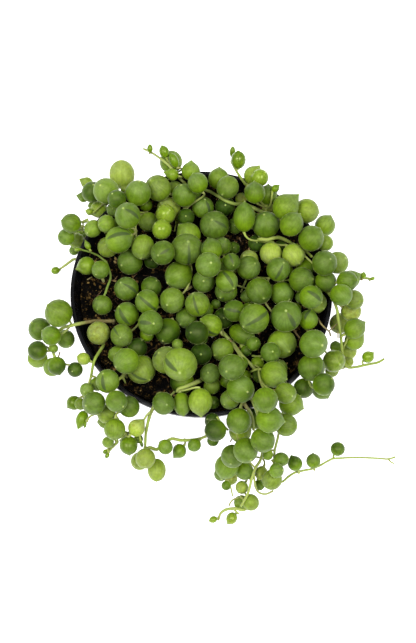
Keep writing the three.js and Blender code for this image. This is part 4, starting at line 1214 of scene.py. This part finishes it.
def leaf_green(tree, height, tone, fresh, patches):
    """A leaf's green from its tone, which is partly painted shade and light: uneven, yellower at
    its base, with a bloom, and blotched if it is pale.
    """
    uneven = times(tree, minus(tree, patches, 0.5), TONE_UNEVEN)
    colour = ramp(tree, plus(tree, tone, uneven, clamp=True), PEARL_TONES)
    colour = blend_colours(tree, span(tree, height, *BASE_SPAN, 0, BASE_SHARE), colour, BASE_GREEN)
    bloom = times(tree, span(tree, height, *BLOOM_SPAN),
                  span(tree, patches, *BLOOM_NOISE, *BLOOM_SHARES))
    bloom = times(tree, bloom, minus(tree, 1, fresh))
    # A low tone, often painted shade, keeps little bloom.
    bloom = times(tree, bloom, span(tree, tone, *BLOOM_TONES, LEAST_BLOOM, 1))
    colour = blend_colours(tree, bloom, colour, BLOOM_GREEN)
    blotches = span(tree, grain(tree, BLOTCH_SCALE), *BLOTCH_NOISE, 0, BLOTCH_SHARE)
    blotches = times(tree, blotches, span(tree, tone, *BLOTCH_TONES))
    return blend_colours(tree, blotches, colour, BLOTCH_BROWN)


def leaf_lines(tree, axes, shade):
    """Fine lines that run from a leaf's tip to its base."""
    squares = [maths(tree, "POWER", axes[i], 2) for i in range(2)]
    flat = plus(tree, maths(tree, "SQRT", plus(tree, *squares)), LINE_PINCH)
    lines_at = {
        "X": maths(tree, "DIVIDE", axes[0], flat),
        "Y": maths(tree, "DIVIDE", axes[1], flat),
        "Z": plus(tree, times(tree, axes[2], LINE_DRIFT), shade),
    }
    lines_at = node(tree, "ShaderNodeCombineXYZ", lines_at).outputs[0]
    return grain(tree, LINE_SCALE, vector=lines_at)


def leaf_window(tree, axes, down, shade, reach):
    """Where a leaf's window is: a lens along one side, from near the tip as far as it reaches."""
    along = maths(tree, "DIVIDE", minus(tree, down, WINDOW_FROM), minus(tree, reach, WINDOW_FROM),
                  clamp=True)
    half = maths(tree, "SQRT", maths(tree, "SINE", times(tree, along, math.pi)))
    half = times(tree, times(tree, half, WINDOW_WIDE), span(tree, shade, 0, 1, *WINDOW_WIDTHS))
    inside = span(tree, minus(tree, half, maths(tree, "ABSOLUTE", axes[1])), *WINDOW_EDGE)
    return times(tree, inside, maths(tree, "GREATER_THAN", axes[0], 0))


def pearl_material():
    """Waxy succulent leaf: green, finely lined, with a dark window and a pale tip."""
    material, tree, shader = new_material("pearl")
    local = attribute(tree, "local")["Vector"]
    axes = node(tree, "ShaderNodeSeparateXYZ", {"Vector": local}).outputs
    look = attribute(tree, "look")
    tone, shade, fresh = parts_of(tree, look["Color"])
    patches = grain(tree, PATCH_SCALE, PATCH_DETAIL)
    lines = leaf_lines(tree, axes, shade)
    specks = spread(tree, grain(tree, SPECK_SCALE), -SPECK_CONTRAST, SPECK_CONTRAST)
    lightness = plus(tree, spread(tree, lines, -LINE_CONTRAST, LINE_CONTRAST),
                     span(tree, shade, 0, 1, *LEAF_SHADES))
    colour = leaf_green(tree, axes[2], tone, fresh, patches)
    colour = shaded(tree, colour, plus(tree, lightness, specks))
    down = maths(tree, "ARCCOSINE", axes[2])
    window = leaf_window(tree, axes, down, shade, times(tree, look["Alpha"], math.pi))
    window = times(tree, window, times(tree, attribute(tree, "mark")["Fac"], WINDOW_SHARE))
    colour = blend_colours(tree, window, colour, WINDOW_GREEN)
    tip = times(tree, span(tree, down, *TIP_EDGE), span(tree, shade, 0, 1, *TIP_SHARES))
    skin = times(tree, grain(tree, SKIN_SCALE, SKIN_DETAIL), SKIN_SHARE)
    feed(tree, shader, {
        "Base Color": blend_colours(tree, tip, colour, TIP_PALE),
        "Roughness": minus(tree, spread(tree, patches, *LEAF_ROUGHNESS),
                           times(tree, fresh, FRESH_GLOSS)),
        "Subsurface Weight": 0.45,
        "Subsurface Radius": (0.7, 1.0, 0.15),
        "Subsurface Scale": 0.0018,
        "Sheen Weight": 0.42,
        "Sheen Roughness": 0.16,
        "Sheen Tint": (0.85, 0.95, 0.42, 1),
        "Specular IOR Level": 0.3,
        "Specular Tint": (1.0, 1.0, 0.5, 1),
    })
    height = plus(tree, times(tree, lines, 1 - SKIN_SHARE), skin)
    bump(tree, shader, height, strength=0.3, distance=0.00012)
    return material


STEM_AGES = (
    (0.0, (0.250, 0.315, 0.060)),
    (0.45, (0.220, 0.250, 0.065)),
    (0.75, (0.180, 0.120, 0.050)),
    (1.0, (0.080, 0.042, 0.022)),
)
STEM_GREEN = (0.078, 0.160, 0.006, 1)
STREAK_COLOUR = (0.70, 0.72, 0.48, 1)
STREAK_SCALE, STREAK_DETAIL, STREAK_SHORTENED, STREAK_SHARE = 2.2, 4, 0.3, 0.45
WEAR_SCALE, WEAR_NOISE, WEAR_AMOUNTS = 240, (0.35, 0.75), (-0.15, 0.35)
STEM_PALE, PALE_SHARE = (0.400, 0.420, 0.180, 1), 0.3
STEM_ROUGHNESS = (0.42, 0.75)


def stem_material():
    """Young stem: pale yellow-green, streaked along its length, brown and corky where it is old."""
    material, tree, shader = new_material("stem")
    along = drawn_out(tree, attribute(tree, "local")["Vector"], STREAK_SHORTENED)
    age, shade, lush = parts_of(tree, attribute(tree, "look")["Color"])
    streaks = grain(tree, STREAK_SCALE, STREAK_DETAIL, along)
    wear = span(tree, grain(tree, WEAR_SCALE), *WEAR_NOISE, *WEAR_AMOUNTS)
    worn = plus(tree, age, wear, clamp=True)
    colour = blend_colours(tree, lush, ramp(tree, worn, STEM_AGES), STEM_GREEN)
    streaked = spread(tree, streaks, 0, STREAK_SHARE)
    colour = blend_colours(tree, streaked, colour, STREAK_COLOUR, "MULTIPLY")
    feed(tree, shader, {
        "Base Color": blend_colours(tree, span(tree, shade, 0, 1, 0, PALE_SHARE), colour, STEM_PALE),
        "Roughness": span(tree, worn, 0, 1, *STEM_ROUGHNESS),
        "Subsurface Weight": 0.25,
        "Subsurface Radius": (0.8, 1.0, 0.3),
        "Subsurface Scale": 0.0008,
        "Specular IOR Level": 0.2,
        "Specular Tint": (1.0, 1.0, 0.5, 1),
    })
    bump(tree, shader, streaks, strength=0.5, distance=0.00012)
    return material


PLASTIC_BLACK, PLASTIC_GREY = (0.0020, 0.0021, 0.0026, 1), (0.0040, 0.0042, 0.0052, 1)
FLOW_SCALE, FLOW_SHORTENED, PLASTIC_ROUGHNESS = 90, 0.12, (0.2, 0.3)
DUST_GREY = (0.011, 0.010, 0.009, 1)
DUST_SCALE, DUST_DETAIL, DUST_NOISE, DUST_SHARE = 420, 5, (0.52, 0.75), 0.35
DUST_ROUGH, DUST_HEIGHT = 0.6, 0.3


def plastic_material():
    """Thin black pot plastic: a soft sheen, faint flow marks and dust."""
    material, tree, shader = new_material("plastic")
    here = node(tree, "ShaderNodeTexCoord").outputs["Object"]
    flow = grain(tree, FLOW_SCALE, vector=drawn_out(tree, here, FLOW_SHORTENED))
    dust = grain(tree, DUST_SCALE, DUST_DETAIL)
    dusty = span(tree, dust, *DUST_NOISE, 0, DUST_SHARE)
    colour = blend_colours(tree, spread(tree, flow), PLASTIC_BLACK, PLASTIC_GREY)
    feed(tree, shader, {
        "Base Color": blend_colours(tree, dusty, colour, DUST_GREY),
        "Roughness": plus(tree, spread(tree, flow, *PLASTIC_ROUGHNESS),
                          times(tree, dusty, DUST_ROUGH)),
        "Specular IOR Level": 0.15,
    })
    height = plus(tree, flow, times(tree, dust, DUST_HEIGHT))
    bump(tree, shader, height, strength=0.25, distance=0.0002)
    return material


PEAT_COLOURS = (
    (0.20, (0.0003, 0.0002, 0.0001)),
    (0.45, (0.0011, 0.0007, 0.0001)),
    (0.68, (0.0090, 0.0048, 0.0010)),
    (0.95, (0.1050, 0.0620, 0.0170)),
)
CLUMP_SCALE, CLUMP_DETAIL, PEAT_SCALE, PEAT_DETAIL = 330, 6, 1500, 4
PEAT_NOISE, PEAT_ROUGHNESS = (0.42, 0.66), (0.95, 0.65)


def peat_material():
    """Moist peat: near black, with browner and redder grains."""
    material, tree, shader = new_material("peat")
    clumps = grain(tree, CLUMP_SCALE, CLUMP_DETAIL)
    grains = grain(tree, PEAT_SCALE, PEAT_DETAIL)
    mixed = plus(tree, times(tree, clumps, 0.5), times(tree, grains, 0.5))
    feed(tree, shader, {
        "Base Color": ramp(tree, span(tree, mixed, *PEAT_NOISE), PEAT_COLOURS),
        "Roughness": spread(tree, grains, *PEAT_ROUGHNESS),
        "Specular IOR Level": 0.05,
    })
    bump(tree, shader, mixed, strength=1.0, distance=0.0009)
    return material


CRUMB_SCALE, CRUMB_DETAIL = 2600, 4
CRUMB_SHADES, CRUMB_ROUGHNESS = (0.45, 1.25), (0.95, 0.7)


def crumb_material():
    """Bark, fibre and grit in the peat, each piece in its own colour, with a fibrous grain."""
    material, tree, shader = new_material("crumb")
    look = attribute(tree, "look")["Color"]
    fibres = grain(tree, CRUMB_SCALE, CRUMB_DETAIL)
    feed(tree, shader, {
        "Base Color": shaded(tree, look, spread(tree, fibres, *CRUMB_SHADES)),
        "Roughness": spread(tree, fibres, *CRUMB_ROUGHNESS),
        "Specular IOR Level": 0.06,
    })
    bump(tree, shader, fibres, strength=0.8, distance=0.0003)
    return material


FLOOR_TINTS, FLOOR_SCALE, FLOOR_DETAIL = ((0.88, 0.88, 0.88, 1), (0.92, 0.92, 0.92, 1)), 6, 4


def floor_material():
    """Plain pale matt floor, with hardly visible unevenness."""
    material, tree, shader = new_material("floor")
    feed(tree, shader, {
        "Base Color": blend_colours(tree, grain(tree, FLOOR_SCALE, FLOOR_DETAIL), *FLOOR_TINTS),
        "Roughness": 0.9,
        "Emission Color": (1.0, 1.0, 1.0, 1),
        "Emission Strength": 0.6,
    })
    return material


# ---- Pieces ----

POT_SIDES, HOLE_SIDES, ARC_STEPS = 144, 32, 6
OUTER_RINGS, OUTER_MARGIN = 8, 6
INNER_RINGS, INNER_TOP, INNER_FOOT = 12, 4, 2
LIP_TUCK, UNDERCUT, FLOOR_CORNER = 0.1, -80, 1
SHARP_ANGLE = math.radians(40)


def arc(middle, radius, first, last):
    """Points on an arc, from one angle to another in degrees."""
    angles = [math.radians(first + (last - first) * i / ARC_STEPS) for i in range(ARC_STEPS + 1)]
    return [(middle[0] + radius * math.cos(a), middle[1] + radius * math.sin(a)) for a in angles]


def lathe(profile, sides, name):
    """A mesh turned round the Z axis from (radius, height) points that start and end on it."""
    points = [(0, 0, profile[0][1])]
    for radius, height in profile[1:-1]:
        for j in range(sides):
            angle = 2 * math.pi * j / sides
            points.append((radius * math.cos(angle), radius * math.sin(angle), height))
    points.append((0, 0, profile[-1][1]))
    mesh = bpy.data.meshes.new(name)
    faces = [face[::-1] for face in capped_faces(len(profile) - 2, sides)]
    mesh.from_pydata([tuple(c * MM for c in point) for point in points], [], faces)
    return mesh


def pot_profile():
    """The pot's section: up its outside, over the lip and down its inside, to the axis."""
    def outer(z):
        return wall_radius(z) + WALL / 2

    def inner(z):
        return wall_radius(z) - WALL / 2

    collar = POT_HEIGHT - COLLAR_HEIGHT
    lip = POT_HEIGHT - LIP_HEIGHT
    edge = LIP_OVERHANG / 2
    profile = [(0, 0), (BASE_RADIUS - FOOT_ROUND, 0)]
    profile += arc((outer(FOOT_ROUND) - FOOT_ROUND, FOOT_ROUND), FOOT_ROUND, UNDERCUT, 0)
    outer_heights = np.linspace(OUTER_MARGIN, collar - OUTER_MARGIN, OUTER_RINGS)
    profile += [(outer(z), z) for z in outer_heights]
    profile += [(outer(collar) - COLLAR_STEP, collar), (outer(collar), collar + COLLAR_STEP)]
    profile += [(outer(lip) - LIP_TUCK, lip - 2 * LIP_TUCK)]
    profile += arc((RIM_RADIUS - edge, lip + edge + LIP_TUCK), edge, UNDERCUT, 0)
    profile += arc((RIM_RADIUS - 2 * edge, POT_HEIGHT - 2 * edge), 2 * edge, 0, 90)
    profile += arc((inner(POT_HEIGHT) + edge, POT_HEIGHT - edge), edge, 90, 180)
    inner_heights = np.linspace(POT_HEIGHT - INNER_TOP, BASE_THICKNESS + INNER_FOOT, INNER_RINGS)
    profile += [(inner(z), z) for z in inner_heights]
    return profile + [(inner(BASE_THICKNESS) - FLOOR_CORNER, BASE_THICKNESS), (0, BASE_THICKNESS)]


def drain_cutter():
    """A round plug for each drain hole, all in one object."""
    plugs = bmesh.new()
    for i in range(DRAIN_HOLES):
        angle = 2 * math.pi * i / DRAIN_HOLES
        plug = bmesh.ops.create_cone(plugs, cap_ends=True, segments=HOLE_SIDES,
                                     radius1=DRAIN_RADIUS * MM, radius2=DRAIN_RADIUS * MM,
                                     depth=4 * BASE_THICKNESS * MM)
        move = Vector((math.cos(angle), math.sin(angle), 0)) * DRAIN_CIRCLE * MM
        bmesh.ops.translate(plugs, verts=plug["verts"], vec=move)
    mesh = bpy.data.meshes.new("drain_holes")
    plugs.to_mesh(mesh)
    plugs.free()
    return in_scene("drain_holes", mesh)


def make_pot():
    """Pot: thin tapered wall, stepped collar, rounded lip, and a floor with its drain holes."""
    shell = in_scene("pot_shell", lathe(pot_profile(), POT_SIDES, "pot_shell"))
    cutter = drain_cutter()
    cut = shell.modifiers.new("drain_holes", "BOOLEAN")
    cut.operation, cut.solver, cut.object = "DIFFERENCE", "EXACT", cutter
    bpy.context.view_layer.update()
    graph = bpy.context.evaluated_depsgraph_get()
    done = bpy.data.meshes.new_from_object(shell.evaluated_get(graph))
    bpy.data.objects.remove(shell)
    bpy.data.objects.remove(cutter)
    done.materials.clear()
    done.materials.append(plastic)
    done.shade_smooth()
    done.set_sharp_from_angle(angle=SHARP_ANGLE)
    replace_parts(place("pot_shell", done), "pot")


SOIL_RINGS, SOIL_SIDES = 64, 220
SOIL_SHOULDER = (0.4, 4)
CLODS = ((3.2, 0.9), (1.3, 0.6))
BANK_WIDE, BANK_RISE = 6, 3.4


def soil_height(x, y):
    """Height of the soil's top: the solid's lumps, with clods on them, banked against the wall."""
    wave = 2 * math.pi / LUMP_LENGTH
    lumps = math.sin(wave * x + LUMP_SWAY * math.sin(wave * y)) * math.cos(wave * y)
    height = SOIL_TOP - SOIL_RELIEF * (1 - lumps) / 2
    for size, rise in CLODS:
        height += rise * noise.noise(Vector((x / size, y / size, size)))
    climb = 1 + (math.hypot(x, y) - wall_radius(SOIL_TOP)) / BANK_WIDE
    return height + BANK_RISE * max(0, climb) ** 2


def make_soil():
    """Soil: fills the pot, with a lumpy top."""
    edge = wall_radius(SOIL_TOP) - WALL / 2 - GAP
    foot = wall_radius(BASE_THICKNESS + GAP) - WALL / 2 - GAP
    profile = [(0, SOIL_TOP)]
    profile += [(edge * ring / SOIL_RINGS, SOIL_TOP) for ring in range(1, SOIL_RINGS + 1)]
    profile += [(edge - SOIL_SHOULDER[0], SOIL_TOP - SOIL_SHOULDER[1])]
    profile += [(foot, BASE_THICKNESS + GAP), (0, BASE_THICKNESS + GAP)]
    mesh = lathe(profile[::-1], SOIL_SIDES, "peat")
    for vertex in mesh.vertices:
        if vertex.co.z > (SOIL_TOP - GAP) * MM:
            vertex.co.z = soil_height(vertex.co.x / MM, vertex.co.y / MM) * MM
    mesh.materials.append(peat)
    mesh.shade_smooth()
    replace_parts(place("peat", mesh), "soil")


CRUMB_SEED, CRUMBS, FIBRES = 7, 3200, 210
CRUMB_LEAST, CRUMB_GROWTH = 0.25, 0.55
CRUMB_RISE, CRUMB_FLAT, CRUMB_LONG, CRUMB_ROUGH = 0.25, 0.6, (0.8, 1.7), (0.7, 1.2)
CRUMB_COLOURS = (
    (0.002, 0.001, 0.001), (0.006, 0.004, 0.001), (0.032, 0.019, 0.004), (0.080, 0.048, 0.012),
    (0.170, 0.110, 0.034), (0.016, 0.009, 0.002), (0.330, 0.240, 0.090), (0.600, 0.580, 0.480),
)
CRUMB_SHARES = (38, 26, 16, 11, 9, 20, 4, 0.5)
FIBRE_LENGTHS, FIBRE_STEPS, FIBRE_BEND = (2.0, 6.5), 5, 0.5
FIBRE_RISE, FIBRE_LIFT, FIBRE_RADII = 0.15, 0.35, (0.05, 0.13)
FIBRE_COLOURS = ((0.110, 0.060, 0.030), (0.240, 0.150, 0.080), (0.050, 0.027, 0.016))


def loose_spot(limit, draw):
    """A place on the soil, no further than the limit from its middle."""
    away = limit * math.sqrt(draw.random())
    angle = draw.uniform(0, 2 * math.pi)
    return away * math.cos(angle), away * math.sin(angle)


def add_crumb(shape, edge, draw):
    """One rough bark chip or crumb."""
    size = CRUMB_LEAST + CRUMB_GROWTH * draw.random() ** 2
    x, y = loose_spot(edge - size, draw)
    middle = np.array((x, y, soil_height(x, y) + CRUMB_RISE * size))
    axes = np.array([[draw.gauss(0, 1) for _ in range(3)] for _ in range(3)])
    stretch = [[size * draw.uniform(*CRUMB_LONG)], [size], [size * CRUMB_FLAT]]
    rough = np.array([[draw.uniform(*CRUMB_ROUGH)] for _ in CHIP_POINTS])
    points = middle + (CHIP_POINTS * rough) @ (np.linalg.qr(axes)[0] * stretch)
    colour = draw.choices(CRUMB_COLOURS, CRUMB_SHARES)[0]
    shape.add(points, CHIP_FACES, 0, CHIP_POINTS, (*colour, 1))


def add_fibre(shape, edge, draw):
    """One bent fibre."""
    length = draw.uniform(*FIBRE_LENGTHS)
    x, y = loose_spot(edge - length, draw)
    heading = draw.uniform(0, 2 * math.pi)
    route = []
    for _ in range(FIBRE_STEPS):
        heading += draw.uniform(-FIBRE_BEND, FIBRE_BEND)
        x += length / FIBRE_STEPS * math.cos(heading)
        y += length / FIBRE_STEPS * math.sin(heading)
        route.append((x, y, soil_height(x, y) + FIBRE_RISE + FIBRE_LIFT * draw.random()))
    route = smooth_route(np.array(route))
    radius = draw.uniform(*FIBRE_RADII)
    add_tube(shape, route, [radius] * len(route), (*draw.choice(FIBRE_COLOURS), 1), 0)


def make_crumbs():
    """Bark chips, crumbs and fibres that lie loose on the soil."""
    draw = random.Random(CRUMB_SEED)
    edge = wall_radius(SOIL_TOP) - WALL - 3 * GAP
    shape = Shape()
    for _ in range(CRUMBS):
        add_crumb(shape, edge, draw)
    for _ in range(FIBRES):
        add_fibre(shape, edge, draw)
    shape.make("crumbs", [crumb])


def rough_ball():
    """Points and faces of a ball of few faces, which a chip is made from."""
    ball = bmesh.new()
    bmesh.ops.create_icosphere(ball, subdivisions=1, radius=1)
    points = np.array([vertex.co[:] for vertex in ball.verts])
    faces = [[vertex.index for vertex in face.verts] for face in ball.faces]
    ball.free()
    return points, faces


CHIP_POINTS, CHIP_FACES = rough_ball()

STEM_TAPER, STEM_SWELL = 0.72, 0.16
AGE_FADES, END_AGE, ROOT_AGEING = (0.25, 0.5), 0.1, 0.3
PETIOLE_AGE, PETIOLE_AGEING, PETIOLE_FLARE = 0.1, 0.3, 1.5
DEPTH_IGNORED = 0.6


def join_beads(beads, laid, draw):
    """Gives every bead of a strand its parent, its joint and, to a pearl, its form."""
    for index, bead in enumerate(beads):
        bead.parent = parent_of(bead, beads[:index], laid) if index else None
        if index:
            bead.parent.bears = True
        if bead.across:
            pearl_form(bead, bead.parent, draw)
            find_joint(bead, bead.parent, laid)
        else:
            bead.joint = bead.centre


def own_runs(beads):
    """The runs of turns, each with the bead that it starts from."""
    runs, run = [], None
    for bead in beads:
        if bead.across:
            run = None
        elif run is None:
            run = [bead]
            runs.append((bead.parent, run))
        else:
            run.append(bead)
    return runs


def add_stems(shape, plan, laid, draw):
    """The stems through a strand's turns, each linked to the bead that it starts from."""
    for parent, run in own_runs(plan.beads):
        points = [bead.centre for bead in run]
        look = (plan.age, draw.random(), plan.lush, 1)
        route = smooth_route(np.array(points))
        taper = np.linspace(1, STEM_TAPER, len(route))
        swell = np.array([1 + STEM_SWELL * draw.random() for _ in route])
        ages = plan.age * np.interp(np.linspace(0, 1, len(route)), AGE_FADES, (1, END_AGE))
        add_tube(shape, route, plan.thick * taper * swell, look, ages=ages)
        for bead in run:
            bead.route = route
        if parent:
            way = link_route(points[0], unit(points[0] - points[1]), parent.joint, laid)
            add_tube(shape, way, [plan.thick] * len(way), look)


def add_root(shape, plan, laid, draw):
    """A strand's root, from its first bead down into the soil."""
    first = plan.beads[0]
    x, y, _ = first.centre
    limit = wall_radius(SOIL_TOP) - WALL / 2 - ROOT_FROM_WALL
    inward = min(1, limit / math.hypot(x, y))
    foot = np.array((x * inward, y * inward, SOIL_TOP - ROOT_DEPTH))
    above = foot + (0, 0, ROOT_DEPTH)
    heading = first.back if first.across else -TO_EYE
    root = np.concatenate((link_route(first.joint, heading, above, laid), [foot]))
    look = (plan.age + ROOT_AGEING, draw.random(), 0, 1)
    add_tube(shape, root, [plan.thick] * len(root), look)


def landing(bead, start):
    """Where a pearl's stem meets its parent: its joint, or the nearest point along a stem."""
    parent = bead.parent
    if parent.route is None:
        return parent.joint
    offsets = parent.route - start
    offsets = offsets - DEPTH_IGNORED * (offsets @ TO_EYE)[:, None] * TO_EYE
    return parent.route[int(np.linalg.norm(offsets, axis=1).argmin())]


def add_petiole(shape, bead, laid, draw):
    """The thin stalk from a pearl's base to what it grows from."""
    base = bead.centre + bead.back * bead.radius * bead.long
    look = (PETIOLE_AGE + PETIOLE_AGEING * draw.random(), draw.random(), 0, 1)
    if not bead.parent:
        way = np.array((base, bead.joint))
    elif bead.bears:
        way = link_route(bead.joint, bead.back, landing(bead, bead.joint), laid)
        way = np.concatenate(([base], way))
    else:
        way = link_route(base, bead.back, landing(bead, base), laid)
    thick = PETIOLE_RADIUS * np.concatenate(([PETIOLE_FLARE], np.full(len(way) - 1, 1.0)))
    add_tube(shape, way, thick, look)


def make_strand(name, plan, laid):
    """One strand as a single piece: its stems, root and twigs, and its pearls on their stalks."""
    draw = random.Random(name)
    shape = Shape()
    join_beads(plan.beads, laid, draw)
    add_stems(shape, plan, laid, draw)
    add_root(shape, plan, laid, draw)
    for bead in plan.beads:
        if bead.across:
            add_petiole(shape, bead, laid, draw)
            add_pearl(shape, bead, draw)
    for route, radius, age in plan.twigs:
        add_tube(shape, route, [radius] * len(route), (age, draw.random(), 0, 1))
    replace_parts(shape.make(f"{name}_leafy", [leaf, stem]), name)


plastic = plastic_material()
peat = peat_material()
crumb = crumb_material()
leaf = pearl_material()
stem = stem_material()
make_pot()
make_soil()
make_crumbs()
laid_plant = lay_plant()
fill_gaps(laid_plant)
add_sprigs(laid_plant)
for strand_name, strand_plan in STRANDS.items():
    make_strand(strand_name, strand_plan, laid_plant)


# ---- Stage, light and camera, in metres ----

FLOOR_REACH, FLOOR_DROP = 4, 0.0002
SOFTBOXES = (("left_softbox", (-0.45, -0.25, 1.1), 13.1), ("right_softbox", (0.4, -0.25, 1.1), 11.9))
SOFTBOX_SIZE, SOFTBOX_AIM = 0.5, (0, 0, 0.07)
SKY_COLOUR, SKY_STRENGTH = (1.0, 1.0, 1.0, 1), 0.5
SENSOR_HEIGHT = 36
NEAREST_SEEN = 0.01


def turned_to(start, end):
    """The rotation of a lamp or a camera at the start that faces the end."""
    return (Vector(end) - Vector(start)).to_track_quat("-Z", "Y").to_euler()


def make_floor():
    """A wide pale floor, just under the pot."""
    edge = FLOOR_REACH
    corners = [(-edge, -edge), (edge, -edge), (edge, edge), (-edge, edge)]
    mesh = bpy.data.meshes.new("floor")
    mesh.from_pydata([(x, y, -FLOOR_DROP) for x, y in corners], [], [(0, 1, 2, 3)])
    mesh.materials.append(floor_material())
    floor = in_scene("floor", mesh)


def make_lights():
    """An even pale sky, and a soft square lamp high on each side."""
    world = bpy.data.worlds.new("studio")
    world.use_nodes = True
    sky = world.node_tree.nodes["Background"]
    feed(world.node_tree, sky, {"Color": SKY_COLOUR, "Strength": SKY_STRENGTH})
    bpy.context.scene.world = world
    for name, at, power in SOFTBOXES:
        lamp = bpy.data.lights.new(name, "AREA")
        lamp.shape, lamp.size, lamp.energy = "SQUARE", SOFTBOX_SIZE, power
        softbox = in_scene(name, lamp)
        softbox.location = at
        softbox.rotation_euler = turned_to(at, SOFTBOX_AIM)


def make_camera():
    """The photograph's view."""
    lens = bpy.data.cameras.new("camera")
    lens.sensor_fit = "VERTICAL"
    lens.sensor_height = SENSOR_HEIGHT
    lens.lens = VIEW_FOCAL * SENSOR_HEIGHT / FRAME_HIGH
    lens.clip_start = NEAREST_SEEN
    camera = in_scene("camera", lens)
    camera.location = Vector(EYE) * MM
    camera.rotation_euler = turned_to(EYE, VIEW_AIM)
    bpy.context.scene.camera = camera


make_floor()
make_lights()
make_camera()
bpy.context.scene.view_settings.view_transform = "Standard"
